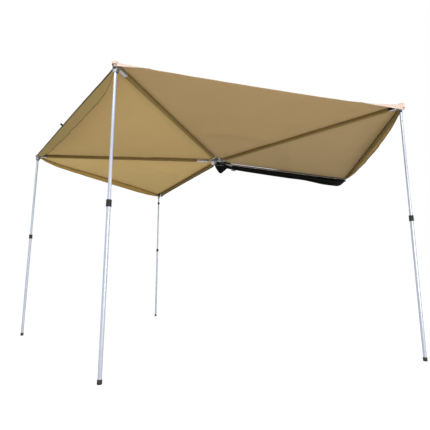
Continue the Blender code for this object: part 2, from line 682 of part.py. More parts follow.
def cloth_row(row, outer_radius):
    """The share of the way out at each row: one at each end of the rise near the hub, then evenly spaced."""
    span = outer_radius - CLOTH_INNER
    near_hub = (0.0, (CLOTH_RISE_START - CLOTH_INNER) / span, (CLOTH_RISE_END - CLOTH_INNER) / span)
    if row < len(near_hub):
        return near_hub[row]
    rest = (row - len(near_hub) + 1) / (CLOTH_ROWS - len(near_hub) + 1)
    return min(1.0, near_hub[-1] + (1 - near_hub[-1]) * rest)


def valance_drop(index, along):
    """How deep the valance is: shallow at both corners, full over most of the span."""
    fullness = math.sin(math.pi * along) ** VALANCE_END_CURVE
    return VALANCE_CORNER + (VALANCE_DROPS[index] - VALANCE_CORNER) * fullness


def valance_point(index, along, down, outward):
    """A valance point's offset from the canopy's edge. Down runs from 0 at the edge to 1 at the hem."""
    drop = valance_drop(index, along)
    bow = math.sin(math.pi * along)
    lean = VALANCE_LEAN
    lift = 0.0
    wave = VALANCE_FOLD * down * bow * math.sin(2 * math.pi * VALANCE_FOLDS * along)
    if index == TURNED_UP_PANEL:
        lean = TURNED_UP_CORNER + (TURNED_UP_MIDDLE - TURNED_UP_CORNER) * bow**TURN_EASE
        lift = TURNED_UP_LIFT * bow**LIFT_EASE
        wave = 0.0
    sideways = drop * down * math.sin(lean) + wave
    height = lift - drop * down * math.cos(lean)
    return np.array([outward[0] * sideways, outward[1] * sideways, height])


def make_panel(index):
    """One canopy panel between two arms, or rail and first arm, with its valance, as one cloth."""
    name = ARM_NAMES[index]
    outer_radius = ARM_REACH + CLOTH_PAST_PIVOT
    inner_end = arm_point(index, CLOTH_INNER, CLOTH_SEAM)
    outer_end = arm_point(index, outer_radius, CLOTH_SEAM)
    if index:
        inner_start = arm_point(index - 1, CLOTH_INNER, -CLOTH_SEAM)
        outer_start = arm_point(index - 1, outer_radius, -CLOTH_SEAM)
    else:
        rail_line = HUB_TO_RAIL_FRONT - CLOTH - GAP
        inner_start = np.array([RAIL_CLOTH_START, rail_line])
        outer_start = np.array([HUB_TO_RAIL_END + RAIL_LENGTH - RAIL_CLOTH_INSET, rail_line])
    edge = outer_end - outer_start
    outward = np.array([-edge[1], edge[0]]) / np.linalg.norm(edge)
    if outward @ outer_end < 0:
        outward = -outward
    rows = CLOTH_ROWS + VALANCE_ROWS
    shape = bmesh.new()
    bmesh.ops.create_grid(shape, x_segments=rows, y_segments=CLOTH_COLUMNS, size=0.5)
    for vert in shape.verts:
        row = round((vert.co.x + 0.5) * rows)
        along = 0.5 - 0.5 * math.cos(math.pi * (vert.co.y + 0.5))
        out = cloth_row(row, outer_radius)
        down = max(0, row - CLOTH_ROWS) / VALANCE_ROWS
        start = inner_start + (outer_start - inner_start) * out
        end = inner_end + (outer_end - inner_end) * out
        place = start + (end - start) * along
        sag = CLOTH_SAG * math.sin(math.pi * along) ** 2 * 4 * out * (1 - out)
        spot = np.array([place[0], place[1], cloth_height(place, sag)])
        if down:
            spot += valance_point(index, along, down, outward)
        vert.co = spot
    panel = from_bmesh(f"canopy_panel_{name}", shape, CANOPY_FINISH, hub)
    solid = panel.modifiers.new("cloth", "SOLIDIFY")
    solid.thickness = CLOTH
    solid.offset = 0.0
    solid.use_even_offset = True


def bag_section(x, top, drop):
    """A ring of points round the folded cover: thin where it hangs, with a round fold below."""
    side = []
    for depth in BAG_RING_DEPTHS:
        half_width = (BAG_TOP_THICKNESS * (1 - depth) + BAG_SWELL * math.sin(math.pi * depth**BAG_FALL)) / 2
        side.append((half_width, top - drop * depth))
    ring = [(x, -width, z) for width, z in side] + [(x, 0.0, top - drop)]
    return ring + [(x, width, z) for width, z in reversed(side)]


def make_bag():
    """Travel bag: the cover hangs folded from the rail's lower track, with a loose end flap."""
    first = -RAIL_LENGTH / 2 + BAG_START - HUB_TO_RAIL_END
    last = RAIL_LENGTH / 2 - GAP
    below_rail = -RAIL_HALF_HEIGHT - GAP
    below_plate = -HUB_OUTER - GAP
    plate_end = -RAIL_LENGTH / 2 + HUB_PLATE_ON_RAIL + HUB_PLATE_CORNER
    run = last - plate_end
    stations = [first, plate_end + GAP, plate_end + 2 * HUB_PLATE]
    stations += [plate_end + run * k / BAG_STATIONS for k in range(1, BAG_STATIONS + 1)]
    shape = bmesh.new()
    rings = []
    for x in stations:
        top = below_plate if x < plate_end + HUB_PLATE else below_rail
        end_share = min(1.0, (last - x) / BAG_END_RUN)
        ripple = 1 + BAG_RIPPLE * math.sin(2 * math.pi * x / BAG_RIPPLE_LENGTH)
        hang = BAG_END_DROP + (BAG_DROP * ripple - BAG_END_DROP) * end_share
        ring = bag_section(x, top, hang + top - below_rail)
        rings.append([shape.verts.new(point) for point in ring])
    for near, far in zip(rings, rings[1:]):
        count = len(near)
        for k in range(count):
            shape.faces.new((near[k], near[(k + 1) % count], far[(k + 1) % count], far[k]))
    shape.faces.new(rings[0])
    shape.faces.new(rings[-1][::-1])
    bmesh.ops.recalc_face_normals(shape, faces=shape.faces)
    bag = from_bmesh("travel_bag", shape, BAG_FINISH, rail_centre)
    flap_far = BAG_START + FLAP_ON_BAG
    flap_outline = [(FLAP_NEAR, below_plate), (flap_far, below_plate), (flap_far, -FLAP_AT_BAG)]
    flap_outline += [(x, -drop) for x, drop in FLAP_EDGE]
    flap_y = HUB_TO_RAIL_FRONT + FLAP_SETBACK + FLAP_CLOTH / 2
    flap = extruded("bag_end_flap", [flap_outline], FLAP_CLOTH, None, hub, (0, flap_y, 0), ACROSS_ARM)
    combine(bag, flap, "UNION")


make_rail()
make_rack_brackets()
make_hub()
for k, arm_name in enumerate(ARM_NAMES):
    arm_axis = axis_empty(f"arm_{arm_name}_swing_axis", hub, (0, 0, 0), ARM_TURNS[k])
    make_knuckle(arm_name, arm_axis, ARM_OFFSETS[k], KNUCKLE_LEVELS[k])
    make_arm(arm_name, arm_axis, ARM_OFFSETS[k])
    leg_axis = axis_empty(f"leg_{arm_name}_fold_axis", arm_axis, (ARM_REACH, ARM_OFFSETS[k], -PIVOT_DROP))
    make_leg(arm_name, leg_axis)
    make_panel(k)
make_bag()

for obj in parts.objects:
    if obj.type == "MESH":
        obj.data.shade_smooth()
        obj.data.set_sharp_from_angle(angle=math.radians(35))
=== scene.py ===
import json
import math

import bmesh
import bpy
import numpy as np
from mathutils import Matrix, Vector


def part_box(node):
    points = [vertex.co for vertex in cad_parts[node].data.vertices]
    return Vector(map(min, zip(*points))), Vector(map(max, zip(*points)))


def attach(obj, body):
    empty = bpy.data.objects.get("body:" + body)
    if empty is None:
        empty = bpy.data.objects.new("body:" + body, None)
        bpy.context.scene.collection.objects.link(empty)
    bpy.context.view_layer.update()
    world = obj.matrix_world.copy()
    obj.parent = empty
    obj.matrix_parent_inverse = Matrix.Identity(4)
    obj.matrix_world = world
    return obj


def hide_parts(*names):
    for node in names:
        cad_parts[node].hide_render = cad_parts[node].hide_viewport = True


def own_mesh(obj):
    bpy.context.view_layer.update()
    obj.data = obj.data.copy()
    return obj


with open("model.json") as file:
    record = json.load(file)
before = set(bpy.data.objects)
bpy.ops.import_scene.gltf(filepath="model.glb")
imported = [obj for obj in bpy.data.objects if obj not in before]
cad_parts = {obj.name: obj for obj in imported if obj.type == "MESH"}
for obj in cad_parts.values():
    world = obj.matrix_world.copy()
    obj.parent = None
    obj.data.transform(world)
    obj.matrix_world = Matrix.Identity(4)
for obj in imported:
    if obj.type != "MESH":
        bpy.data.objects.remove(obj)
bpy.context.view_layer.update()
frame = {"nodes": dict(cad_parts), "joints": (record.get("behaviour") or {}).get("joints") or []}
nodes = frame["nodes"]
joints = {joint["name"]: joint for joint in frame["joints"]}


# The photographer stood a few steps off the open side, with the camera low and tilted a little up.
# The lens and the place come from the tops, collars and shoes of the four legs.
CAMERA_PLACE = (-2.8388, -4.2306, -1.4526)
CAMERA_HEADING = math.radians(67.70)
CAMERA_TILT = math.radians(10.07)
CAMERA_ROLL = math.radians(0.055)
CAMERA_LENS = 29.91
CAMERA_SENSOR = 36.0

camera = bpy.data.objects.new("photo_camera", bpy.data.cameras.new("photo_camera"))
bpy.context.scene.collection.objects.link(camera)
bpy.context.scene.camera = camera
camera.data.lens = CAMERA_LENS
camera.data.sensor_width = CAMERA_SENSOR
camera.data.clip_end = 200.0
camera.location = CAMERA_PLACE
camera.rotation_mode = "XYZ"
camera.rotation_euler = (math.pi / 2 + CAMERA_TILT, CAMERA_ROLL, CAMERA_HEADING - math.pi / 2)


# Studio: a wide pale floor under the shoes, a white surround and three soft lamps.
# The floor and the surround look white, but light the awning no more than pale paint would.
FLOOR_HALF = 45.0
FLOOR_COLOUR = "#E4E3E0"
FLOOR_SHADOW_SHARE = 0.20
FLOOR_GLOW = 1.12
SURROUND_LIGHT = 0.78


def linear(code):
    """An sRGB hex colour as linear red, green, blue and alpha."""
    shares = [int(code[k : k + 2], 16) / 255 for k in (1, 3, 5)]
    return (*[s / 12.92 if s <= 0.04045 else ((s + 0.055) / 1.055) ** 2.4 for s in shares], 1.0)


def add_node(tree, kind, inputs=None, **settings):
    """Adds one node with its settings. Each input is a value, or the output that is linked to it."""
    node = tree.nodes.new(kind)
    for name, value in settings.items():
        setattr(node, name, value)
    for socket, value in (inputs or {}).items():
        if isinstance(value, bpy.types.NodeSocket):
            tree.links.new(value, node.inputs[socket])
        else:
            node.inputs[socket].default_value = value
    return node


def seen_directly(tree):
    """One where a camera, glossy or transmitted ray looks, and nought for light that only bounces."""
    path = add_node(tree, "ShaderNodeLightPath")
    share = path.outputs["Is Camera Ray"]
    for ray in ("Is Glossy Ray", "Is Transmission Ray"):
        either = add_node(tree, "ShaderNodeMath", {0: share, 1: path.outputs[ray]}, operation="MAXIMUM")
        share = either.outputs[0]
    return share


def make_surround():
    """A white world. It lights at the plain level and shows as pure white."""
    world = bpy.data.worlds.new("white_surround")
    world.use_nodes = True
    tree = world.node_tree
    tree.nodes.clear()
    white = linear("#FFFFFF")
    lights = add_node(tree, "ShaderNodeBackground", {"Color": white, "Strength": SURROUND_LIGHT})
    shows = add_node(tree, "ShaderNodeBackground", {"Color": white, "Strength": 1.0})
    ends = {0: seen_directly(tree), 1: lights.outputs[0], 2: shows.outputs[0]}
    mixed = add_node(tree, "ShaderNodeMixShader", ends)
    add_node(tree, "ShaderNodeOutputWorld", {"Surface": mixed.outputs[0]})
    bpy.context.scene.world = world


def make_floor():
    """A flat pale floor at the shoes' soles. What the camera sees keeps a share of the real shadow."""
    level = min(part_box(f"leg_{name}_shoe")[0].z for name in "abcd")
    mesh = bpy.data.meshes.new("studio_floor")
    corners = [(x, y, level) for x, y in ((-1, -1), (1, -1), (1, 1), (-1, 1))]
    mesh.from_pydata([(x * FLOOR_HALF, y * FLOOR_HALF, z) for x, y, z in corners], [], [(0, 1, 2, 3)])
    floor = bpy.data.objects.new("studio_floor", mesh)
    bpy.context.scene.collection.objects.link(floor)
    paint = bpy.data.materials.new("pale_floor_paint")
    paint.use_nodes = True
    tree = paint.node_tree
    tree.nodes.clear()
    plain = add_node(tree, "ShaderNodeBsdfDiffuse", {"Color": linear(FLOOR_COLOUR)})
    white = add_node(tree, "ShaderNodeEmission", {"Color": linear("#FFFFFF"), "Strength": FLOOR_GLOW})
    shares = {0: seen_directly(tree), 1: 1 - FLOOR_SHADOW_SHARE}
    kept = add_node(tree, "ShaderNodeMath", shares, operation="MULTIPLY")
    ends = {0: kept.outputs[0], 1: plain.outputs[0], 2: white.outputs[0]}
    mixed = add_node(tree, "ShaderNodeMixShader", ends)
    add_node(tree, "ShaderNodeOutputMaterial", {"Surface": mixed.outputs[0]})
    mesh.materials.append(paint)


def make_lamp(name, place, target, size, power):
    """A square soft lamp, turned to face a point."""
    lamp = bpy.data.objects.new(name, bpy.data.lights.new(name, "AREA"))
    lamp.data.size = size
    lamp.data.energy = power
    lamp.location = place
    away = np.subtract(place, target)
    heading = math.atan2(away[1], away[0]) + math.pi / 2
    lamp.rotation_euler = (math.atan2(math.hypot(away[0], away[1]), away[2]), 0, heading)
    bpy.context.scene.collection.objects.link(lamp)


make_surround()
make_floor()
make_lamp("high_key_lamp", place=(-5.5, -6.5, 5.5), target=(-1.2, 0.0, 0.0), size=4.0, power=700)
make_lamp("low_front_lamp", place=(-1.0, -7.5, -1.2), target=(-1.2, 0.0, 0.0), size=3.5, power=260)
make_lamp("side_lamp", place=(6.0, -1.0, 2.0), target=(-0.5, 0.0, 0.0), size=3.0, power=75)
bpy.context.scene.view_settings.view_transform = "Standard"


# Mounting rail: an extruded aluminium profile, anodised satin silver, with a black moulded end cap.
# Three black powder-coated angles are bolted to its back, each with a washer, a nut and a bolt's end.
RAIL_SILVER = ("#C4C2C3", "#D8D6D6")
EXTRUSION_LINE = 0.0009
CLAMP_GAP = 0.0003
BRACKET_THICKNESS = 0.005
BOLT_ACROSS_FLATS = 0.013
BOLT_HEAD = 0.0055
BOLT_THREAD_RADIUS = 0.004
BOLT_THREAD_START = -0.0045
BOLT_END = 0.006
BOLT_EASE = 0.0006
WASHER_RADIUS = 0.0085
WASHER_THICKNESS = 0.0016
WASHER_EASE = 0.0003
SEAT_GAP = 0.0001
LINE_DEPTH = 0.00004


def new_finish(name, roughness, metallic=0.0, **uniform):
    """A Principled material. Values that are the same all over go straight onto the shader's sockets."""
    made = bpy.data.materials.new(name)
    made.use_nodes = True
    shader = made.node_tree.nodes["Principled BSDF"]
    shader.inputs["Roughness"].default_value = roughness
    shader.inputs["Metallic"].default_value = metallic
    for socket, value in uniform.items():
        shader.inputs[socket.replace("_", " ")].default_value = value
    return made, made.node_tree, shader


def paint_between(tree, shader, share, dark, light):
    """The base colour runs from one hex colour to another with a share from 0 to 1."""
    ends = {0: share, 6: linear(dark), 7: linear(light)}
    mixed = add_node(tree, "ShaderNodeMix", ends, data_type="RGBA")
    tree.links.new(mixed.outputs[2], shader.inputs["Base Color"])


def roughen_between(tree, shader, share, least, most):
    """The roughness runs from one value to another with a share from 0 to 1."""
    rough = add_node(tree, "ShaderNodeMapRange", {0: share, 3: least, 4: most})
    tree.links.new(rough.outputs[0], shader.inputs["Roughness"])


def emboss(tree, shader, height, depth, strength):
    """Bump from a height of 0 to 1 that stands for a depth in metres."""
    bump = add_node(tree, "ShaderNodeBump", {"Height": height, "Distance": depth, "Strength": strength})
    tree.links.new(bump.outputs[0], shader.inputs["Normal"])


def drawn_aluminium(name, shades, line, stretch, roughness, metallic):
    """Extruded or drawn aluminium: fine die lines along its length, and a slow drift of the tone.

    The noise is squeezed across the piece and stretched along it, so that it reads as die lines.
    """
    made, tree, shader = new_finish(name, roughness, metallic)
    place = add_node(tree, "ShaderNodeTexCoord").outputs["Object"]
    drawn = add_node(tree, "ShaderNodeMapping", {"Vector": place, "Scale": stretch}).outputs[0]
    lines = add_node(tree, "ShaderNodeTexNoise", {"Vector": drawn, "Scale": 1 / line, "Detail": 3.0})
    drift = add_node(tree, "ShaderNodeTexNoise", {"Vector": place, "Scale": 4.0, "Detail": 2.0})
    shares = {0: lines.outputs[0], 1: drift.outputs[0], 2: 0.15}
    both = add_node(tree, "ShaderNodeMath", shares, operation="MULTIPLY_ADD")
    paint_between(tree, shader, both.outputs[0], *shades)
    roughen_between(tree, shader, lines.outputs[0], roughness - 0.06, roughness + 0.08)
    emboss(tree, shader, lines.outputs[0], LINE_DEPTH, 0.6)
    return made


def grained(name, shades, grain, depth, roughness, metallic=0.0, **uniform):
    """An even surface with a fine grain: moulded, cast, plated or powder-coated, by its grain size."""
    made, tree, shader = new_finish(name, roughness, metallic, **uniform)
    place = add_node(tree, "ShaderNodeTexCoord").outputs["Object"]
    fine = add_node(tree, "ShaderNodeTexNoise", {"Vector": place, "Scale": 1 / grain, "Detail": 4.0})
    patchy = add_node(tree, "ShaderNodeTexNoise", {"Vector": place, "Scale": 18.0, "Detail": 2.0})
    paint_between(tree, shader, patchy.outputs[0], *shades)
    roughen_between(tree, shader, patchy.outputs[0], roughness - 0.07, roughness + 0.07)
    emboss(tree, shader, fine.outputs[0], depth, 0.7)
    return made


def dress(finish, *names):
    """Gives CAD nodes a finish in place of their plain one."""
    for name in names:
        nodes[name].data.materials.clear()
        nodes[name].data.materials.append(finish)


# Anodised aluminium: satin silver, with faint lines along its length
rail_aluminium = drawn_aluminium(
    "anodised_aluminium_extrusion", RAIL_SILVER, EXTRUSION_LINE, (0.02, 1, 1), roughness=0.36, metallic=0.8
)
# Moulded nylon, satin black: soft wide highlights over a fine eroded texture
NYLON_BLACK = ("#101113", "#1B1C1F")
black_nylon = grained(
    "moulded_black_nylon", NYLON_BLACK, grain=0.0012, depth=0.00006, roughness=0.46, Specular_IOR_Level=0.25
)
# Powder-coated steel: near-black with a slight orange peel
bracket_coat = grained(
    "black_powder_coat_steel", ("#17181A", "#232427"), grain=0.0022, depth=0.00009, roughness=0.42
)
# Zinc-plated steel: a pale cool metal, a little patchy
zinc_steel = grained(
    "zinc_plated_steel", ("#85878A", "#B0B2B4"), grain=0.0016, depth=0.00004, roughness=0.24, metallic=1.0
)
dress(rail_aluminium, "mounting_rail")
dress(black_nylon, "rail_end_cap")
dress(bracket_coat, *[f"rack_bracket_{where}" for where in ("hub", "mid", "far")])


def show(name, mesh, finish):
    """Puts a finished mesh into the scene under its name."""
    mesh.materials.append(finish)
    piece = bpy.data.objects.new(name, mesh)
    bpy.context.scene.collection.objects.link(piece)
    return piece


def ring_turns(sides):
    """The turns of a ring's points in radians, half a step off its start."""
    return 2 * np.pi * (np.arange(sides) + 0.5) / sides


def turned_mesh(name, profiles, sides, place, axis, rounded=True):
    """Profiles of (radius, height) turned round an axis through a place, each ending on the axis.

    A point is place + height along the axis + radius times the cosine and sine of its turn along two
    directions square to the axis. Each profile is one closed shell.
    """
    axis = np.array(axis, float) / np.linalg.norm(axis)
    helper = np.array([1.0, 0, 0]) if abs(axis[0]) < 0.9 else np.array([0, 1.0, 0])
    first = np.cross(axis, helper)
    first /= np.linalg.norm(first)
    second = np.cross(axis, first)
    turn = ring_turns(sides)
    round_way = np.outer(np.cos(turn), first) + np.outer(np.sin(turn), second)
    points, faces, start = [], [], 0
    for profile in profiles:
        radius, height = np.array(profile, float).T
        inner = (radius[1:-1, None, None] * round_way) + height[1:-1, None, None] * axis
        ends = np.array([height[0] * axis, height[-1] * axis])
        points.append(np.vstack([inner.reshape(-1, 3), ends]) + place)
        rings = start + np.arange(len(inner) * sides).reshape(-1, sides)
        after = np.roll(rings, -1, axis=1)
        quads = np.stack([rings[:-1], after[:-1], after[1:], rings[1:]], axis=-1).reshape(-1, 4)
        top, bottom = start + rings.size, start + rings.size + 1
        faces += quads.tolist()
        faces += [(top, b, a) for a, b in zip(rings[0].tolist(), after[0].tolist())]
        faces += [(bottom, a, b) for a, b in zip(rings[-1].tolist(), after[-1].tolist())]
        start += rings.size + 2
    mesh = bpy.data.meshes.new(name)
    mesh.from_pydata(np.vstack(points).tolist(), [], faces)
    mesh.polygons.foreach_set("use_smooth", [rounded] * len(mesh.polygons))
    outward(mesh)
    return mesh


def outward(mesh):
    """Turns every closed shell's faces to point outwards."""
    shape = bmesh.new()
    shape.from_mesh(mesh)
    bmesh.ops.recalc_face_normals(shape, faces=shape.faces)
    shape.to_mesh(mesh)
    shape.free()


def hex_profile(across_flats, bottom, top):
    """Half outline of a hexagon head or nut, with its corners chamfered, from its top down."""
    corner = across_flats / 2 / math.cos(math.pi / 6)
    chamfer = corner - across_flats / 2
    upper = [(0, top), (corner - chamfer, top), (corner, top - chamfer * 0.6)]
    return [*upper, (corner, bottom + chamfer * 0.3), (corner - chamfer * 0.5, bottom), (0, bottom)]


def round_profile(radius, bottom, top, edge):
    """Half outline of a disc or rod with both rims eased, from its top down."""
    upper = [(0, top), (radius - edge, top), (radius, top - edge)]
    return [*upper, (radius, bottom + edge), (radius - edge, bottom), (0, bottom)]


bracket_back_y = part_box("mounting_rail")[1].y + CLAMP_GAP + BRACKET_THICKNESS
stack = WASHER_THICKNESS + BOLT_HEAD
washer = round_profile(WASHER_RADIUS, SEAT_GAP, WASHER_THICKNESS, WASHER_EASE)
thread = round_profile(BOLT_THREAD_RADIUS, BOLT_THREAD_START, stack + BOLT_END, BOLT_EASE)
nut = hex_profile(BOLT_ACROSS_FLATS, WASHER_THICKNESS + SEAT_GAP, stack)
for where in ("hub", "mid", "far"):
    low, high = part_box(f"rack_bracket_{where}")
    centre = ((low.x + high.x) / 2, bracket_back_y, joints["arm_a_swing"]["pos_m"][2])
    mesh = turned_mesh(f"bracket_{where}_washer", [washer, thread], 20, centre, (0, 1, 0))
    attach(show(f"bracket_{where}_washer", mesh, zinc_steel), "root")
    mesh = turned_mesh(f"bracket_{where}_nut", [nut], 6, centre, (0, 1, 0), rounded=False)
    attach(show(f"bracket_{where}_nut", mesh, zinc_steel), "root")


# Hub: two zinc-plated steel plates clamp the rail's end and carry one bolt as the pin. Natural nylon
# bushes space them from the four cast knuckles, and two screws hold each plate to the rail.
HUB_SCREW_RADIUS = 0.0065
HUB_SCREW_HEAD = 0.0032
HUB_SCREW_START = 0.030
HUB_SCREW_SPACING = 0.070
# The head's outline, from its top down, as shares of that radius and height
HUB_SCREW_DOME = ((0, 1), (0.45, 0.94), (0.8, 0.7), (1, 0.25), (1, 0), (0, 0))

# Cast aluminium, tumbled: a dull grey metal with a soft sandy grain
CAST_GREY = ("#6E7072", "#949698")
cast_aluminium = grained(
    "cast_tumbled_aluminium", CAST_GREY, grain=0.0018, depth=0.00014, roughness=0.40, metallic=1.0
)
# Natural nylon: a milky off-white plastic, smooth and softly shiny
natural_nylon = grained(
    "natural_nylon", ("#DAD6CA", "#E8E5DB"), grain=0.003, depth=0.00003, roughness=0.44
)
dress(zinc_steel, "hub_plate_upper", "hub_plate_lower", "hub_pin", "hub_nut")
dress(natural_nylon, "hub_bush_upper", "hub_bush_lower")
dress(cast_aluminium, *[f"arm_{name}_knuckle" for name in "abcd"])

rail_low, rail_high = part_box("mounting_rail")
dome = [(HUB_SCREW_RADIUS * wide, HUB_SCREW_HEAD * tall) for wide, tall in HUB_SCREW_DOME]
for level, side in (("upper", 1), ("lower", -1)):
    low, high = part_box(f"hub_plate_{level}")
    face = high.z if side > 0 else low.z
    for k in range(2):
        x = rail_low.x + HUB_SCREW_START + k * HUB_SCREW_SPACING
        centre = np.array([x, (rail_low.y + rail_high.y) / 2, face])
        mesh = turned_mesh(f"hub_screw_{level}_{k}", [dome], 20, centre, (0, 0, side))
        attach(show(f"hub_screw_{level}_{k}", mesh, zinc_steel), "root")


# Arms: square aluminium tubes, mill finish, bare at both ends. A pressed saddle is riveted round each
# tip, and a black moulded cap closes the tube.
RIVET_RADIUS = 0.0042
RIVET_HEAD = 0.0016
RIVET_EASE = 0.0009
RIVET_SEAT = 0.0002
# Each rivet's place along the arm from the leg's pivot, and its side
RIVETS = ((-0.024, 1), (-0.024, -1), (0.006, 1), (0.006, -1))
SADDLE_GAP = 0.0003
SADDLE_WALL = 0.003


class Arm:
    """One arm seen from its joints: its line from the hub, and how far it stands off the hub pin."""

    def __init__(self, name):
        swing = np.array(joints[f"arm_{name}_swing"]["pos_m"])
        pivot = np.array(joints[f"leg_{name}_fold"]["pos_m"])
        self.name = name
        self.body = f"arm_{name}"
        self.hub = swing
        self.across = np.array([*joints[f"leg_{name}_fold"]["axis"][:2], 0.0])
        self.along = np.array([self.across[1], -self.across[0], 0.0])
        self.reach = float((pivot - swing) @ self.along)
        self.offset = float((pivot - swing) @ self.across)
        self.pivot = pivot

    def point(self, out, sideways, up):
        """A place from its distance out along the arm, sideways from its centre line and above it."""
        out, sideways, up = np.broadcast_arrays(out, sideways, up)
        return (
            self.hub
            + out[..., None] * self.along
            + (self.offset + sideways)[..., None] * self.across
            + up[..., None] * np.array([0, 0, 1.0])
        )


arms = {name: Arm(name) for name in "abcd"}
# Mid grey and dull: painted shade on the saddles of arms c and d and on leg c's shroud, which lie in shade
painted_shade_grey = grained(
    "grey_powder_coat_steel", ("#56575A", "#66676A"), grain=0.0022, depth=0.00009, roughness=0.46
)
# Mill-finish aluminium, a little oxidised: a soft light grey that is only half mirror-like. Its tone is
# kept darker in part as painted shade for the tubes' shaded sides.
MILL_GREY = ("#8F9193", "#B3B5B6")
arm_aluminium = grained(
    "mill_finish_aluminium_tube", MILL_GREY, grain=0.0011, depth=0.00003, roughness=0.32, metallic=0.8
)
for name in "abcd":
    dress(arm_aluminium, f"arm_{name}_tube")
    # The saddles of arms c and d are painted shade grey
    dress(arm_aluminium if name in "ab" else painted_shade_grey, f"arm_{name}_tip_bracket")
    dress(black_nylon, f"arm_{name}_end_cap")
    arm = arms[name]
    low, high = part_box(f"arm_{name}_tube")
    face = (high.z - low.z) / 2 + SADDLE_GAP + SADDLE_WALL
    head = round_profile(RIVET_RADIUS, -RIVET_SEAT, RIVET_HEAD, RIVET_EASE)
    for k, (out, side) in enumerate(RIVETS):
        centre = arm.point(arm.reach + out, side * face, 0.0)
        mesh = turned_mesh(f"arm_{name}_rivet_{k}", [head], 16, centre, side * arm.across)
        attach(show(f"arm_{name}_rivet_{k}", mesh, zinc_steel), arm.body)


# Legs: a thin bright-drawn tube slides in a thicker one. A black fluted collar clamps them, and a
# black rubber shoe stands on the ground. A pressed metal shroud wraps each moulded head; leg c's is
# dull grey as painted shade. Leg d has a small black moulded clip below it.
LEG_SILVER = ("#989EAA", "#BAC0CD")
DRAW_LINE = 0.0014
CLIP_DROP = 0.114
CLIP_HALF_HEIGHT = 0.021
CLIP_WALL = 0.0064
CLIP_LIP = 0.0012
HEAD_RADIUS = 0.013
HEAD_DROP = 0.020
SHROUD_WRAP = (-8, 188)
SHROUD_GAP = 0.0006
SHROUD_PINCH = 0.0004
SHROUD_THICKNESS = 0.0006
SHROUD_HALF_WIDTH = 0.0132

# Bright drawn aluminium: a cool clear silver, with fine lines down the leg
leg_aluminium = drawn_aluminium(
    "bright_drawn_aluminium_tube", LEG_SILVER, DRAW_LINE, (1, 1, 0.03), roughness=0.30, metallic=0.62
)
# Moulded rubber: matt black, slightly dusty
shoe_rubber = grained(
    "moulded_black_rubber", ("#141414", "#202020"), grain=0.002, depth=0.0001, roughness=0.78
)
for name in "abcd":
    dress(leg_aluminium, f"leg_{name}_upper_tube", f"leg_{name}_lower_tube")
    dress(black_nylon, f"leg_{name}_head", f"leg_{name}_lock_collar")
    dress(shoe_rubber, f"leg_{name}_shoe")
    dress(zinc_steel, f"leg_{name}_pivot_pin")


def grid_mesh(name, points, kept=None, wrapped=False):
    """A mesh on a grid of points, with one quad between four neighbours, wrapped round if it closes.

    kept holds named vectors, one for each point, which stay on the mesh as attributes for materials.
    """
    rows, columns = points.shape[:2]
    index = np.arange(rows * columns).reshape(rows, columns)
    near = index if wrapped else index[:, :-1]
    far = np.roll(index, -1, axis=1) if wrapped else index[:, 1:]
    quads = np.stack([near[:-1], far[:-1], far[1:], near[1:]], axis=-1).reshape(-1, 4)
    mesh = bpy.data.meshes.new(name)
    mesh.from_pydata(points.reshape(-1, 3).tolist(), [], quads.tolist())
    mesh.polygons.foreach_set("use_smooth", [True] * len(mesh.polygons))
    for label, vectors in (kept or {}).items():
        layer = mesh.attributes.new(label, "FLOAT_VECTOR", "POINT")
        layer.data.foreach_set("vector", vectors.reshape(-1).astype(np.float32))
    return mesh


def sheet_piece(name, points, kept, finish, thickness, wrapped=False):
    """A thin sheet on a grid of points, with its thickness on both sides of its middle surface."""
    piece = show(name, grid_mesh(name, points, kept, wrapped), finish)
    wall = piece.modifiers.new("thickness", "SOLIDIFY")
    wall.thickness = thickness
    wall.offset = 0.0
    return piece


# The shroud is an arc round the head, drawn in to a foot below it on either side
for name in "abcd":
    arm = arms[name]
    turn = np.radians(np.linspace(*SHROUD_WRAP, 29))
    radius = HEAD_RADIUS + SHROUD_GAP
    arc = np.stack([radius * np.cos(turn), radius * np.sin(turn)], axis=-1)
    foot = np.array([HEAD_RADIUS - SHROUD_PINCH, -HEAD_DROP])
    wrap = np.vstack([foot, arc, foot * (-1, 1)])[:, None, :]
    side = np.linspace(-SHROUD_HALF_WIDTH, SHROUD_HALF_WIDTH, 5)
    points = (
        arm.pivot
        + wrap[..., :1] * arm.along
        + side[None, :, None] * arm.across
        + wrap[..., 1:] * np.array([0, 0, 1.0])
    )
    # Leg c's shroud is painted shade grey
    finish = painted_shade_grey if name == "c" else leg_aluminium
    shroud = sheet_piece(f"leg_{name}_head_shroud", points, None, finish, SHROUD_THICKNESS)
    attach(shroud, f"leg_{name}")

clip_low, clip_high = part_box("leg_d_upper_tube")
tube_radius = (clip_high.x - clip_low.x) / 2
clip_centre = arms["d"].pivot - np.array([0, 0, CLIP_DROP])
clip_steps = ((CLIP_LIP, 1.0), (CLIP_WALL * 0.7, 0.8), (CLIP_WALL, 0.35))
upper_half = [(0, CLIP_HALF_HEIGHT)]
upper_half += [(tube_radius + out, CLIP_HALF_HEIGHT * share) for out, share in clip_steps]
clip = upper_half + [(radius, -height) for radius, height in reversed(upper_half)]
mesh = turned_mesh("leg_d_clip", [clip], 28, clip_centre, (0, 0, 1))
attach(show("leg_d_clip", mesh, black_nylon), "leg_d")


# Canopy: coated cotton canvas, one sheet in each gore, sewn to its neighbours along the arms. It lies
# on the sleeves, sags between them, dips along its outer edge and rises over the hub plate.
CLOTH_THICKNESS = 0.0007
CLOTH_SAG = 0.026
CLOTH_INNER = 0.050
RAIL_CLOTH_INNER = 0.076
CLOTH_PAST_PIVOT = {"a": 0.028, "b": 0.028, "c": 0.012, "d": 0.026}
CLOTH_ABOVE_ARM = 0.0170
CLOTH_ABOVE_HUB = 0.0220
RISE_START = 0.685
RISE_RUN = 0.200
LATER_RISE_AT_RAIL = 0.190
RAIL_INSET = 0.006
CLOTH_OFF_RAIL = 0.0015
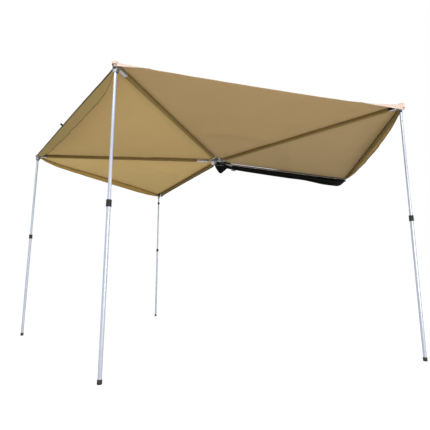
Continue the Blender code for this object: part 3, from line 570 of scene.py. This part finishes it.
# The outer edge's depth, the share over which it falls, and the power with which it climbs again
EDGE_DIPS = {
    "a": (0.026, 0.3, 1.0),
    "b": (0.0615, 0.1, 0.5),
    "c": (0.022, 0.03, 4.0),
    "d": (0.070, 0.1, 3.0),
}
SHORTER_START = {"a": 0.0, "b": 0.0, "c": 0.024, "d": 0.0}
INNER_START_INSET = {"a": 0.0, "b": 0.0, "c": 0.036, "d": 0.0}
TENSION_CREASE = 0.0022
CREASE_COUNT = 5.0
CREASE_FADE = 9.0
CREASE_FAN = (1.06, 0.55)
ROWS_OUT = 76
ROW_CROWDING = 0.9
COLUMNS = 112
FOLDED_SIDEWAYS = 0.0185
# Each gore's shade is painted light: lighter from the rail to the last arm, as light through the cloth
# falls on each gore differently. It is one canvas.
GORE_SHADES_WITH_PAINTED_LIGHT = {
    "a": ("#957F5B", "#A18B66"),
    "b": ("#98805A", "#A48C64"),
    "c": ("#A88E5F", "#B39A67"),
    "d": ("#B59B66", "#C1A770"),
}
# Each band along an edge is its width, and the tone that it is darkened to. The rail's band and the first
# gore's hem band are painted shadow, along the rail and along the edge above its valance.
PLAIN_BAND = (0.012, 0.93)
RAIL_PAINTED_SHADOW = (0.011, 0.30)
GORE_HEMS = {"a": (0.014, 0.62), "b": PLAIN_BAND, "c": PLAIN_BAND, "d": (0.022, 0.72)}
BAND_BLUR = 0.0007
THREAD_PITCH = 0.0042
WEAVE_DEPTH = 0.00012
STITCH_PITCH = 0.008
STITCH_INSET = 0.003
STITCH_HALF_WIDTH = 0.0009
STITCH_SHADE = 0.28


def canvas(name, shades, hem=PLAIN_BAND, seam=PLAIN_BAND, roughness=0.9):
    """Plain-weave coated canvas. Two crossed waves make the weave, drawn at 4 mm between threads.

    The real threads are about 0.5 mm apart, too fine for the picture, so they are drawn coarser.
    Slow noise gives the dye its drift and fine noise its slubs. The attribute "edges" holds each
    point's distance from the hem and from the seam, and a band of each width is shaded by its tone,
    with one row of stitches along its inner side.
    """
    made, tree, shader = new_finish(name, roughness, Specular_IOR_Level=0.12)
    place = add_node(tree, "ShaderNodeAttribute", attribute_name="place").outputs["Vector"]
    edges = add_node(tree, "ShaderNodeAttribute", attribute_name="edges").outputs["Vector"]
    along = add_node(tree, "ShaderNodeSeparateXYZ", {0: place})
    away = add_node(tree, "ShaderNodeSeparateXYZ", {0: edges})
    waves = []
    for axis, pitch in ((0, THREAD_PITCH), (1, THREAD_PITCH), (0, STITCH_PITCH)):
        turns = {0: along.outputs[axis], 1: 2 * math.pi / pitch}
        angle = add_node(tree, "ShaderNodeMath", turns, operation="MULTIPLY").outputs[0]
        waves.append(add_node(tree, "ShaderNodeMath", {0: angle}, operation="SINE").outputs[0])
    weave = add_node(tree, "ShaderNodeMath", {0: waves[0], 1: waves[1]}, operation="MULTIPLY").outputs[0]
    spot = add_node(tree, "ShaderNodeTexCoord").outputs["Object"]
    drift = add_node(tree, "ShaderNodeTexNoise", {"Vector": spot, "Scale": 2.6, "Detail": 4.0})
    slub = add_node(tree, "ShaderNodeTexNoise", {"Vector": spot, "Scale": 140.0, "Detail": 3.0})
    both = {0: drift.outputs[0], 1: slub.outputs[0]}
    share = add_node(tree, "ShaderNodeMath", both, operation="ADD").outputs[0]
    half = add_node(tree, "ShaderNodeMath", {0: share, 1: 0.5}, operation="MULTIPLY").outputs[0]
    ends = {0: half, 6: linear(shades[0]), 7: linear(shades[1])}
    shade = add_node(tree, "ShaderNodeMix", ends, data_type="RGBA").outputs[2]
    dash = add_node(tree, "ShaderNodeMath", {0: waves[2], 1: 0.0}, operation="GREATER_THAN").outputs[0]
    for axis, (width, tone) in ((0, hem), (1, seam)):
        edge = away.outputs[axis]
        inside = {0: edge, 1: width - BAND_BLUR, 2: width + BAND_BLUR, 3: tone, 4: 1.0}
        band = add_node(tree, "ShaderNodeMapRange", inside).outputs[0]
        on_row = {0: edge, 1: width - STITCH_INSET, 2: STITCH_HALF_WIDTH}
        row = add_node(tree, "ShaderNodeMath", on_row, operation="COMPARE").outputs[0]
        stitch = add_node(tree, "ShaderNodeMath", {0: row, 1: dash}, operation="MULTIPLY").outputs[0]
        darker = {0: stitch, 1: -STITCH_SHADE, 2: 1.0}
        thread = add_node(tree, "ShaderNodeMath", darker, operation="MULTIPLY_ADD").outputs[0]
        toned = add_node(tree, "ShaderNodeMath", {0: band, 1: thread}, operation="MULTIPLY").outputs[0]
        laid = {0: 1.0, 6: shade, 7: toned}
        shade = add_node(tree, "ShaderNodeMix", laid, data_type="RGBA", blend_type="MULTIPLY").outputs[2]
    tree.links.new(shade, shader.inputs["Base Color"])
    emboss(tree, shader, weave, WEAVE_DEPTH, 0.35)
    return made


def smooth(value):
    """A smooth step from 0 to 1: 3s^2 - 2s^3 of the value s, held between 0 and 1."""
    share = np.clip(value, 0, 1)
    return share * share * (3 - 2 * share)


def cloth_level(sag, hub_radius):
    """The cloth's height above the arms' centre lines.

    It is level with the sleeves' tops less the sag. Near the hub it rises, by a smooth step of the
    distance from the pin, to clear the upper hub plate, also when the gores are folded.
    """
    clear = smooth((hub_radius - RISE_START) / RISE_RUN)
    return CLOTH_ABOVE_HUB * (1 - clear) + (CLOTH_ABOVE_ARM - sag) * clear


hub_point = arms["a"].hub
cloth_outer = {name: arm.reach + CLOTH_PAST_PIVOT[name] for name, arm in arms.items()}
rail_line_y = rail_low.y - CLOTH_OFF_RAIL


def edge_line(index, out, outer_inset=0.0, inner_inset=0.0):
    """A gore's side: an arm's centre line, or for the first gore the rail's front.

    The insets are how much shorter that side is at its outer and at its inner end.
    """
    if index < 0:
        near = np.array([hub_point[0] + RAIL_CLOTH_INNER, rail_line_y])
        far = np.array([rail_high.x - RAIL_INSET, rail_line_y])
    else:
        arm = arms["abcd"[index]]
        near = arm.point(CLOTH_INNER + inner_inset, 0.0, 0.0)[:2]
        far = arm.point(cloth_outer[arm.name] - outer_inset, 0.0, 0.0)[:2]
    return near + (far - near) * out[..., None]


def outer_edge(index):
    """The two ends of a gore's outer edge, its length, and the level direction outwards from it."""
    one = np.ones(1)
    start = edge_line(index - 1, one, SHORTER_START["abcd"[index]])[0]
    end = edge_line(index, one)[0]
    length = np.linalg.norm(end - start)
    run = (end - start) / length
    outwards = np.array([-run[1], run[0]])
    if outwards @ (start - hub_point[:2]) < 0:
        outwards = -outwards
    return start, end, length, outwards


def edge_dip(name, along):
    """How far the outer edge hangs below a straight line between its corners.

    It is depth (1 - exp(-t / near)) (1 - t)^power at the share t from the gore's first side.
    """
    depth, near, power = EDGE_DIPS[name]
    return depth * (1 - np.exp(-along / near)) * (1 - along) ** power


def gore(index, out, along):
    """Points of the gore before arm number index: straight across from edge to edge, less its sag.

    The sag is a sine squared across the gore times a parabola from the hub to the hem. The dip of the
    outer edge fades inwards as the fourth power. Fine tension creases fan out from the outer corners.
    Towards the rail the first gore stays at the hub plate's level for longer.
    """
    name = "abcd"[index]
    start = edge_line(index - 1, out, SHORTER_START[name], INNER_START_INSET[name])
    end = edge_line(index, out)
    flat = start + (end - start) * along[..., None]
    sag = CLOTH_SAG * np.sin(np.pi * along) ** 2 * 4 * out * (1 - out)
    dip = edge_dip(name, along) * out**4
    corner = np.minimum(along, 1 - along)
    spread = np.sin(2 * np.pi * corner * CREASE_COUNT / (CREASE_FAN[0] - out * CREASE_FAN[1]))
    fading = spread * np.exp(-corner * CREASE_FADE) * out**3 * np.sin(np.pi * corner) * 4
    creases = TENSION_CREASE * fading
    later = LATER_RISE_AT_RAIL * (1 - along) * (index == 0)
    level = cloth_level(sag + dip + creases, np.linalg.norm(flat - hub_point[:2], axis=-1) - later)
    return np.concatenate([flat, (hub_point[2] + level)[..., None]], axis=-1)


def surface_area(points):
    """The area of a grid of points, as the sum of its triangles."""
    a, b, c, d = points[:-1, :-1], points[:-1, 1:], points[1:, 1:], points[1:, :-1]
    first = np.linalg.norm(np.cross(b - a, c - a), axis=-1)
    second = np.linalg.norm(np.cross(c - a, d - a), axis=-1)
    return float((first.sum() + second.sum()) / 2)


def cloth_marks(first, second, hem, seam):
    """What the canvas reads at each point: its place on the cloth, and how far the hem and seam are."""
    nought = np.zeros(first.shape)
    return {
        "place": np.stack([first, second, nought], axis=-1),
        "edges": np.stack([hem, seam, nought], axis=-1),
    }


def in_arm_axes(points, arm, hem, seam):
    """The cloth's marks with each point's place in the arm's own axes, along and across it."""
    relative = points - arm.hub
    return cloth_marks(relative @ arm.along, relative @ arm.across - arm.offset, hem, seam)


out, along = np.meshgrid(
    np.linspace(0, 1, ROWS_OUT + 1) ** ROW_CROWDING, np.linspace(0, 1, COLUMNS + 1), indexing="ij"
)
for k, name in enumerate("abcd"):
    arm = arms[name]
    points = gore(k, out, along)
    start, end, length, outwards = outer_edge(k)
    hem = (points[..., :2] - start) @ -outwards
    seam = rail_line_y - points[..., 1] if k == 0 else np.ones_like(hem)
    kept = in_arm_axes(points, arm, hem, seam)
    # The first gore's dark band along the rail is painted shadow
    seam_band = RAIL_PAINTED_SHADOW if k == 0 else PLAIN_BAND
    finish = canvas(f"coated_canopy_canvas_{name}", GORE_SHADES_WITH_PAINTED_LIGHT[name], GORE_HEMS[name], seam_band)
    piece = sheet_piece(f"canopy_sheet_{name}", points, kept, finish, CLOTH_THICKNESS)
    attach(piece, arm.body)
    anchor = tuple(arm.point(0.0, FOLDED_SIDEWAYS, 0.0))
    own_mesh(piece)
    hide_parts(f"canopy_panel_{name}")


# Seam tape: a doubled strip of canvas sewn over the joint of two gores, along each arm on the roof.
# A row of stitches runs along either side of it.
TAPE_HALF = 0.019
TAPE_OPEN_SIDE = -0.25
TAPE_THICKNESS = 0.0008
TAPE_GAP = 0.0004
TAPE_INSETS = (0.012, 0.006)
TAPE_ROWS = 90

tape_canvas = canvas("doubled_seam_tape_canvas", ("#94804F", "#A28C58"), hem=(0.006, 0.9))
for k, name in enumerate("abcd"):
    arm = arms[name]
    out_tape, side = np.meshgrid(
        np.linspace(CLOTH_INNER + TAPE_INSETS[0], cloth_outer[name] - TAPE_INSETS[1], TAPE_ROWS + 1),
        np.linspace(-1 if k < 3 else TAPE_OPEN_SIDE, 1, 7),
        indexing="ij",
    )
    wide = side * TAPE_HALF
    flat_place = arm.point(out_tape, wide, 0.0)
    radius = np.linalg.norm(flat_place[..., :2] - hub_point[:2], axis=-1)
    lift = (CLOTH_THICKNESS + TAPE_THICKNESS) / 2 + TAPE_GAP
    points = arm.point(out_tape, wide, cloth_level(0.0, radius) + lift)
    kept = in_arm_axes(points, arm, TAPE_HALF - np.abs(wide), np.ones_like(wide))
    piece = sheet_piece(f"seam_tape_{name}", points, kept, tape_canvas, TAPE_THICKNESS)
    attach(piece, arm.body)


# Valances: a strip of the same canvas sewn along each outer edge, with a dark bound seam. On the first and
# third it is darkened further as painted shade under the roof's edge. Three hang. The one between the first
# two arms is turned up onto the roof: only its lips show at its ends, painted pale as painted sunlight.
VALANCE_LEAN = math.radians(2)
VALANCE_RIPPLE = 0.003
VALANCE_ROWS = 14
VALANCE_COLUMNS = 150
# The depth at the first end, at the last and between them, and the powers with which it gets there
VALANCE_DEPTHS = {
    "a": (0.015, 0.015, 0.121, 4.5, 7),
    "c": (0.010, 0.003, 0.185, 30, 6.5),
    "d": (0.005, 0.034, 0.077, 20, 9),
}
# The canvas's two shades, then the bands of its hem and of its seam. Valance a's seam band is painted shade
# under the roof's edge. Valance c's shades are painted shade, darker than the canvas because its outer face
# stands in shade, and its dark seam line is a bound seam with painted shade over it.
VALANCE_TONES = {
    "a": (("#A08A57", "#B9A16B"), (0.010, 0.45), (0.050, 0.55)),
    "c": (("#74633A", "#7F6D42"), (0.009, 0.58), (0.021, 0.14)),
    "d": (("#9A7F48", "#AD9157"), (0.007, 0.80), (0.010, 0.72)),
}
LEAST_DROP = 0.004
LIP_ENDS = (0.17, 0.90)
# The first lip's depth and slope, and the last one's depth and growth
LIP_DEPTHS = (0.062, 0.075, 0.019, 0.0175)
LEAST_LIP = 0.003
TURNED_UP_DEPTH = 0.100
TURNED_UP_LEAN = math.radians(266)
TURNED_UP_LIFT = 0.006
VALANCE_FOLDED_SIDEWAYS = {"a": 0.0206, "b": 0.0210, "c": 0.0210, "d": 0.0210}


def hanging(name, along):
    """A hanging valance's drop below its seam, its lean, and its lift.

    Its hem is a smooth line, depth - (depth - near)(1 - t)^p - (depth - far) t^q below the straight
    line of the corners, so the drop is that depth less the dip of the seam.
    """
    near, far, depth, first, last = VALANCE_DEPTHS[name]
    hem = depth - (depth - near) * (1 - along) ** first - (depth - far) * along**last
    drop = np.maximum(hem - edge_dip(name, along), LEAST_DROP)
    return drop, np.full_like(along, VALANCE_LEAN), 0 * along


def turned_up(along):
    """The turned-up valance's drop, lean and lift: it lies back on the roof between two short lips.

    The first lip grows shorter in a straight line and the last one longer, both less the seam's dip.
    Between them it is as deep as its depth times a sine to the power 0.4.
    """
    first, last = LIP_ENDS
    dip = edge_dip("b", along)
    near, fade, far, rise = LIP_DEPTHS
    lip_near = near - fade * along - dip
    lip_far = far + rise * np.maximum(along - last, 0) / (1 - last) - dip
    middle = np.clip((along - first) / (last - first), 0, 1)
    flat = TURNED_UP_DEPTH * np.clip(np.sin(np.pi * middle), 0, 1) ** 0.4
    drop = np.where(along < first, lip_near, np.where(along > last, lip_far, flat))
    at_lip = (along < first) | (along > last)
    lean = np.where(at_lip, VALANCE_LEAN, TURNED_UP_LEAN)
    return np.maximum(drop, LEAST_LIP), lean, np.where(at_lip, 0.0, TURNED_UP_LIFT)


# The valance's inner face: the same canvas, painted pale and a little pink as painted sunlight, dull
sunlit_painted_face = canvas("pale_coated_valance_face", ("#AF9D92", "#BBA99E"), (0.004, 0.8), (0.002, 0.8))
down, along = np.meshgrid(
    np.linspace(0, 1, VALANCE_ROWS + 1), np.linspace(0, 1, VALANCE_COLUMNS + 1), indexing="ij"
)
# The cloth ripples by two sines along the edge, which grow towards the hem and fade at both ends
for k, name in enumerate("abcd"):
    arm = arms[name]
    drop, lean, lift = turned_up(along) if name == "b" else hanging(name, along)
    start, end, length, outwards = outer_edge(k)
    bow = np.clip(np.sin(np.pi * along), 0, 1)
    waves = np.sin(10 * np.pi * along + k) + 0.4 * np.sin(27 * np.pi * along)
    ripple = VALANCE_RIPPLE * down * bow * waves
    sideways = drop * down * np.sin(lean) + (0 if name == "b" else 1) * ripple
    height = lift * np.minimum(1, down * 4) - drop * down * np.cos(lean)
    shift = np.stack([outwards[0] * sideways, outwards[1] * sideways, height], axis=-1)
    points = gore(k, np.ones_like(along), along) + shift
    kept = cloth_marks(along * length, drop * down, drop * (1 - down), drop * down)
    # Valance c's darker canvas and valance a's seam band are painted shade; valance b's pale face is
    # painted sunlight
    if name == "b":
        finish = sunlit_painted_face
    else:
        finish = canvas(f"coated_valance_canvas_{name}", *VALANCE_TONES[name])
    piece = sheet_piece(f"valance_{name}", points, kept, finish, CLOTH_THICKNESS)
    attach(piece, arm.body)
    anchor = tuple(arm.point(0.0, VALANCE_FOLDED_SIDEWAYS[name], 0.0))
    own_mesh(piece)


# Sleeves: a pocket of the same canvas sewn under the canopy along each arm, doubled. Its darker olive is
# painted shade, for the light that the doubled cloth keeps from coming through. It is drawn tight over the
# tube, with a bound seam down each side.
SLEEVE_PAINTED_SHADE = ("#6F5B36", "#7E6B3E")
SLEEVE_WIDER = 0.0015
SLEEVE_INSETS = (0.0007, 0.0004)
SLEEVE_PUCKER = 0.0005
SLEEVE_PUCKERS = 46
SLEEVE_ROWS = 260
SLEEVE_SIDES = 32
SLEEVE_SQUARENESS = 5.0
# How far each sleeve's inner and outer end lie beyond the solid's
SLEEVE_ENDS = {"a": (0.0, 0.035), "b": (0.0, 0.0), "c": (0.11, 0.025), "d": (0.0, 0.0)}


def squared(wave, power):
    """A cosine or sine with its sign kept and its size raised to a power, which squares a round off."""
    return np.sign(wave) * np.abs(wave) ** power


sleeve_canvas = canvas("doubled_sleeve_canvas", SLEEVE_PAINTED_SHADE, hem=(0.0045, 0.88))
# The sleeve is a squared-off ring carried along the tube, puckered sideways by a sine of a sine
for name in "abcd":
    arm = arms[name]
    sleeve_low, sleeve_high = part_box(f"arm_{name}_sleeve")
    half_height = (sleeve_high.z - sleeve_low.z) / 2
    half_width = half_height + SLEEVE_WIDER
    solid = nodes[f"arm_{name}_sleeve"].data
    corners = np.empty((len(solid.vertices), 3), np.float32)
    solid.vertices.foreach_get("co", corners.ravel())
    reaches = (corners - arm.hub) @ arm.along
    first = float(reaches.min()) + SLEEVE_ENDS[name][0]
    last = float(reaches.max()) + SLEEVE_ENDS[name][1]
    out_sleeve, turn = np.meshgrid(
        np.linspace(first, last, SLEEVE_ROWS + 1), ring_turns(SLEEVE_SIDES), indexing="ij"
    )
    power = 2 / SLEEVE_SQUARENESS
    wave = np.sin(2 * np.pi * SLEEVE_PUCKERS * out_sleeve + 3 * np.sin(7 * out_sleeve))
    spread = half_width - SLEEVE_INSETS[0] + SLEEVE_PUCKER * wave * np.cos(turn) ** 2
    wide = spread * squared(np.cos(turn), power)
    tall = (half_height - SLEEVE_INSETS[1]) * squared(np.sin(turn), power)
    points = arm.point(out_sleeve, wide, tall)
    kept = in_arm_axes(points, arm, half_width - np.abs(wide), np.ones_like(wide))
    piece = sheet_piece(f"sleeve_{name}", points, kept, sleeve_canvas, CLOTH_THICKNESS, wrapped=True)
    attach(piece, arm.body)
    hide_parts(f"arm_{name}_sleeve")
    loop = np.concatenate([points, points[:, :1]], axis=1)
    around = surface_area(loop) / (last - first)


# Open hem: the canopy's last side ends past the last arm. Its canvas is doubled, bound in dark tape and
# hangs beside the sleeve, deeper towards the tip, where it stands out to pass the bracket.
OPEN_HEM_RUN = (0.18, 2.170)
OPEN_HEM_SIDE = -0.0312
OPEN_HEM_DEPTHS = (0.036, 0.052)
OPEN_HEM_TUCK = 0.012
OPEN_HEM_TUCK_END = 1.98
OPEN_HEM_TUCK_RUN = 0.1
OPEN_HEM_RIPPLE = 0.0006
OPEN_HEM_OFF_LINE = 0.0006
OPEN_HEM_BELOW_CLOTH = 0.002

arm = arms["d"]
down, out_hem = np.meshgrid(np.linspace(0, 1, 11), np.linspace(*OPEN_HEM_RUN, 61), indexing="ij")
share = (out_hem - OPEN_HEM_RUN[0]) / (OPEN_HEM_RUN[1] - OPEN_HEM_RUN[0])
drop = OPEN_HEM_DEPTHS[0] + (OPEN_HEM_DEPTHS[1] - OPEN_HEM_DEPTHS[0]) * share**2
wave = OPEN_HEM_RIPPLE * np.sin(23 * out_hem) * down
tuck = 1 - np.clip((out_hem - OPEN_HEM_TUCK_END) / OPEN_HEM_TUCK_RUN, 0, 1)
near = OPEN_HEM_SIDE + OPEN_HEM_TUCK * tuck
height = CLOTH_ABOVE_ARM - OPEN_HEM_BELOW_CLOTH - drop * down
points = arm.point(out_hem, near - wave - OPEN_HEM_OFF_LINE, height)
kept = in_arm_axes(points, arm, drop * (1 - down), drop * down)
hem_canvas = canvas("bound_open_hem_canvas", ("#7A673C", "#877347"), (0.010, 0.22), (0.004, 0.5))
piece = sheet_piece("open_hem_d", points, kept, hem_canvas, CLOTH_THICKNESS)
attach(piece, arm.body)


# Corner tabs: black polyester webbing, sewn flat under each outer corner and turned down along the
# side of the arm, which ties the cloth to the arm's bare end.
WEBBING_THICKNESS = 0.0008
TAB_BELOW_CLOTH = 0.0016
TAB_SPREAD = 0.0008
TAB_FOLD_GAP = 0.0006
# Each is its arm and side, its first and last place out along the arm, how far off the centre line it
# turns down, how far across it starts, and how far down it goes.
TABS = (
    ("a", -1, 2.080, 2.153, 0.0147, 0.040, 0.030),
    ("b", 1, 2.140, 2.178, 0.0185, 0.036, 0.004),
    ("c", 1, 2.086, 2.160, 0.0181, 0.036, 0.020),
    ("d", 1, 2.090, 2.153, 0.0147, 0.030, 0.020),
    ("d", -1, 2.090, 2.153, 0.0147, 0.030, 0.020),
)

# Polyester webbing: black, a little smoother than the canvas
webbing = canvas("black_polyester_webbing", ("#0A0A0B", "#131416"), (0.003, 0.8), roughness=0.75)
share, over = np.meshgrid(np.linspace(0, 1, 11), np.linspace(0, 1, 17), indexing="ij")
for name, side, first, last, beside, reach, turned_down in TABS:
    arm = arms[name]
    level_part = reach - beside
    travel = over * (level_part + turned_down)
    leaning = TAB_SPREAD * np.clip(travel / level_part - 1, 0, 1)
    wide = side * (reach - np.minimum(travel, level_part) - leaning)
    high = CLOTH_ABOVE_ARM - TAB_BELOW_CLOTH - np.maximum(travel - level_part, 0)
    points = arm.point(first + (last - first) * share, wide, high)
    kept = in_arm_axes(points, arm, np.full_like(wide, 0.010), np.ones_like(wide))
    label = f"corner_tab_{name}_{'far' if side < 0 else 'near'}"
    piece = sheet_piece(label, points, kept, webbing, WEBBING_THICKNESS)
    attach(piece, arm.body)
    if (name, side) != ("d", -1):
        anchor = tuple(arm.point(0.0, side * (beside + TAB_FOLD_GAP), 0.0))
        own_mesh(piece)


# Tie loop: a strap of the same black webbing, passed once round the bare end of the last arm and sewn
# to itself. The last corner's tabs are sewn to its sides.
LOOP_START = 2.108
LOOP_END = 2.150
LOOP_HALF = 0.0152
LOOP_POWER = 0.3

arm = arms["d"]
out_loop, turn = np.meshgrid(np.linspace(LOOP_START, LOOP_END, 7), ring_turns(32), indexing="ij")
wide = LOOP_HALF * squared(np.cos(turn), LOOP_POWER)
tall = LOOP_HALF * squared(np.sin(turn), LOOP_POWER)
points = arm.point(out_loop, wide, tall)
kept = in_arm_axes(points, arm, np.minimum(out_loop - LOOP_START, LOOP_END - out_loop), np.ones_like(wide))
piece = sheet_piece("tie_loop_d", points, kept, webbing, WEBBING_THICKNESS, wrapped=True)
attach(piece, arm.body)


# Corner covers: the turned-up valance's cloth wraps round the ends of its two arms, painted pale as painted
# sunlight. It is sewn to the corners of the roof and open below.
COVER_HALF = 0.0195
COVER_START = 2.196
COVER_FRONT = 0.0045
COVER_TOP = CLOTH_ABOVE_ARM - 0.0012
COVER_BOTTOMS = {"a": -0.024, "b": -0.003}
COVER_POWER = 0.7
# The depth that its cloth's marks run over, and how far from the seam they start
COVER_SEAM = (0.04, 0.004)

# Half a squared-off ring round the arm's end, carried straight down
down, share = np.meshgrid(np.linspace(0, 1, 9), np.linspace(0, 1, 41), indexing="ij")
turn = np.pi * (share - 0.5)
wide = COVER_HALF * squared(np.sin(turn), COVER_POWER)
for name in "ab":
    arm = arms[name]
    front = cloth_outer[name] + COVER_FRONT
    out_cover = COVER_START + (front - COVER_START) * np.abs(np.cos(turn)) ** COVER_POWER
    points = arm.point(out_cover, wide, COVER_TOP + (COVER_BOTTOMS[name] - COVER_TOP) * down)
    run = share * (2 * COVER_HALF + 2 * (front - COVER_START))
    fall = COVER_SEAM[0] * down
    kept = cloth_marks(run, fall, COVER_SEAM[0] * (1 - down), fall + COVER_SEAM[1])
    piece = sheet_piece(f"corner_cover_{name}", points, kept, sunlit_painted_face, CLOTH_THICKNESS)
    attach(piece, arm.body)


# Edge loop: a short loop of black webbing, sewn by both its ends to the third gore's outer edge. The
# valance is rolled up and tied with it.
EDGE_LOOP_SHARE = 0.545
EDGE_LOOP_RADIUS = 0.0095
EDGE_LOOP_HALF_WIDTH = 0.011
EDGE_LOOP_THICKNESS = 0.0012

# An oval ring that starts and ends on the edge, stands out from it and leans up
start, end, length, outwards = outer_edge(2)
spot = gore(2, np.ones(1), np.full(1, EDGE_LOOP_SHARE))[0]
run = np.array([*(end - start) / length, 0.0])
turn, share = np.meshgrid(np.linspace(0, 2 * np.pi, 25), np.linspace(-1, 1, 5), indexing="ij")
out_edge = EDGE_LOOP_RADIUS * (1 - np.cos(turn)) * 1.1
rise = EDGE_LOOP_RADIUS * np.sin(turn) * 0.55 + 0.4 * out_edge
aside = share * EDGE_LOOP_HALF_WIDTH
points = (
    spot
    + out_edge[..., None] * np.array([*outwards, 0.0])
    + aside[..., None] * run
    + rise[..., None] * np.array([0, 0, 1.0])
)
around = np.zeros_like(turn)
around[1:] = np.cumsum(np.linalg.norm(np.diff(points, axis=0), axis=-1), axis=0)
kept = cloth_marks(around, aside, EDGE_LOOP_HALF_WIDTH * (1 - np.abs(share)), np.ones_like(share))
piece = sheet_piece("edge_loop", points, kept, webbing, EDGE_LOOP_THICKNESS)
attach(piece, "arm_c")
arm = arms["c"]
anchor = tuple(arm.point(0.0, VALANCE_FOLDED_SIDEWAYS["c"], 0.0))
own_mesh(piece)


# Keder: a round cord of braided black polyester, sewn into the first gore's edge. It lies along the
# rail's front face, over the mouth of the upper channel.
KEDER_RADIUS = 0.0048
KEDER_HEIGHT = 0.0098
KEDER_START = 0.03
KEDER_GAP = 0.0006
KEDER_EASE = 0.0012
KEDER_SIDES = 14

# Braided polyester: dull black, with a fine cross grain
CORD_BLACK = ("#0C0C0D", "#18191A")
braided_cord = grained(
    "black_braided_cord", CORD_BLACK, grain=0.0016, depth=0.0002, roughness=0.7, Specular_IOR_Level=0.15
)
first, last = hub_point[0] + RAIL_CLOTH_INNER + KEDER_START, rail_high.x - RAIL_INSET
centre = np.array([0.0, rail_low.y - KEDER_RADIUS - KEDER_GAP, hub_point[2] + KEDER_HEIGHT])
keder = round_profile(KEDER_RADIUS, first, last, KEDER_EASE)
mesh = turned_mesh("canopy_keder", [keder], KEDER_SIDES, centre, (1, 0, 0))
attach(show("canopy_keder", mesh, braided_cord), "root")


# Travel bag: black PVC-coated fabric. Its front edge lies on the rail's front face and its back edge
# under the rail. The open cover hangs between them in a soft fold that grows deeper to the far end.
BAG_SHADES = ("#050506", "#0B0C0D")
BAG_STATIONS = 150
BAG_SIDES = 36
BAG_START = 0.170
BAG_END_GAP = 0.0006
BAG_FRONT_TOP = -0.0030
BAG_BACK_TOP = -0.0166
BAG_UNDER_PLATE = -0.0218
PLATE_GAP = 0.001
PLATE_RISE = 0.018
BAG_NEAR_DEPTH = 0.045
BAG_MIDDLE_GROWTH = 0.033
BAG_MIDDLE_START = 0.95
BAG_FAR_GROWTH = 0.032
BAG_FAR_START = 0.2
BAG_FAR_RUN = 0.5
BAG_END_DEPTH = 0.022
BAG_END_RUN = 0.160
BAG_HALF_WIDTHS = (0.0150, 0.0085, 0.0062)
BAG_LIP = 0.12
BAG_LIP_GAP = 0.0012
BAG_WRINKLE = 0.0016
BAG_THICKNESS = 0.0009

# PVC-coated fabric: near-black, with a broad grey sheen along its soft creases
bag_fabric = grained(
    "black_coated_bag_fabric",
    BAG_SHADES,
    grain=0.0035,
    depth=0.00025,
    roughness=0.38,
    Specular_IOR_Level=0.07,
)
bag_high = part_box("travel_bag")[1]
plate_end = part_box("hub_plate_lower")[1].x
bag_middle_y = (rail_low.y + rail_high.y) / 2
x, share = np.meshgrid(
    np.linspace(hub_point[0] + BAG_START, bag_high.x - BAG_END_GAP, BAG_STATIONS + 1),
    np.linspace(0, 1, BAG_SIDES + 1),
    indexing="ij",
)
# Both its top edges run below the hub plate, and climb beyond it by a smooth step
past_plate = smooth((x - plate_end - PLATE_GAP) / PLATE_RISE)
front_top = BAG_UNDER_PLATE + (BAG_FRONT_TOP - BAG_UNDER_PLATE) * past_plate
back_top = BAG_UNDER_PLATE + (BAG_BACK_TOP - BAG_UNDER_PLATE) * past_plate
top = front_top + (back_top - front_top) * smooth(share)
# Its depth grows as a power to the middle, by a smooth step beyond, and shrinks again at its end
middle = np.clip((x + BAG_MIDDLE_START) / BAG_MIDDLE_START, 0, 1) ** 0.6
further = smooth((x - BAG_FAR_START) / BAG_FAR_RUN)
depth = BAG_NEAR_DEPTH + BAG_MIDDLE_GROWTH * middle + BAG_FAR_GROWTH * further
ending = smooth((bag_high.x - x) / BAG_END_RUN)
depth = BAG_END_DEPTH + (depth - BAG_END_DEPTH) * ending**0.45
# Across it the fabric falls and climbs as a sine power, is drawn in below the rail and swells lower down
fall = np.sin(np.pi * share) ** 0.75
at_rail, drawn_in, swell = BAG_HALF_WIDTHS
half_width = at_rail - drawn_in * smooth(fall / 0.35) + swell * smooth((fall - 0.45) / 0.4)
half_width = half_width * (0.35 + 0.65 * ending)
crease = BAG_WRINKLE * np.sin(19 * x + 6 * fall) * np.sin(37 * x - 11 * fall) * np.sin(np.pi * fall)
y = bag_middle_y - half_width * squared(np.cos(np.pi * share), 0.3) + crease
on_front_face = (share < BAG_LIP) & (past_plate > 0.5)
y = np.where(on_front_face, np.minimum(y, rail_low.y - BAG_LIP_GAP), y)
z = hub_point[2] + top + (-depth - top) * fall
points = np.stack([x, y, z], axis=-1)
piece = sheet_piece("travel_bag_cover", points, None, bag_fabric, BAG_THICKNESS)
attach(piece, "root")
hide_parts("travel_bag")


# Bag flap: the cover's loose hub end. It hangs as a soft point below the hub plate, in shallow folds
# that grow towards its lower edge.
FLAP_FOLD = 0.003
FLAP_LEAST = 0.003
FLAP_BACK = 0.100
FLAP_THICKNESS = 0.0012
# How far the flap hangs below the arms' centre lines, at distances from the hub pin along the rail
FLAP_ACROSS = (0.026, 0.056, 0.096, 0.117, 0.137, 0.178, 0.222)
FLAP_HANGS = (0.004, 0.062, 0.122, 0.131, 0.127, 0.088, 0.048)

down, from_hub = np.meshgrid(
    np.linspace(0, 1, 25), np.linspace(FLAP_ACROSS[0], FLAP_ACROSS[-1], 50), indexing="ij"
)
lowest = np.interp(from_hub, FLAP_ACROSS, FLAP_HANGS)
hang = np.maximum(lowest + BAG_UNDER_PLATE, FLAP_LEAST)
y = hub_point[1] + FLAP_BACK + FLAP_FOLD * np.sin(70 * from_hub + 4 * down) * down
z = hub_point[2] + BAG_UNDER_PLATE - hang * down
points = np.stack([hub_point[0] + from_hub, y, z], axis=-1)
piece = sheet_piece("travel_bag_flap", points, None, bag_fabric, FLAP_THICKNESS)
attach(piece, "root")
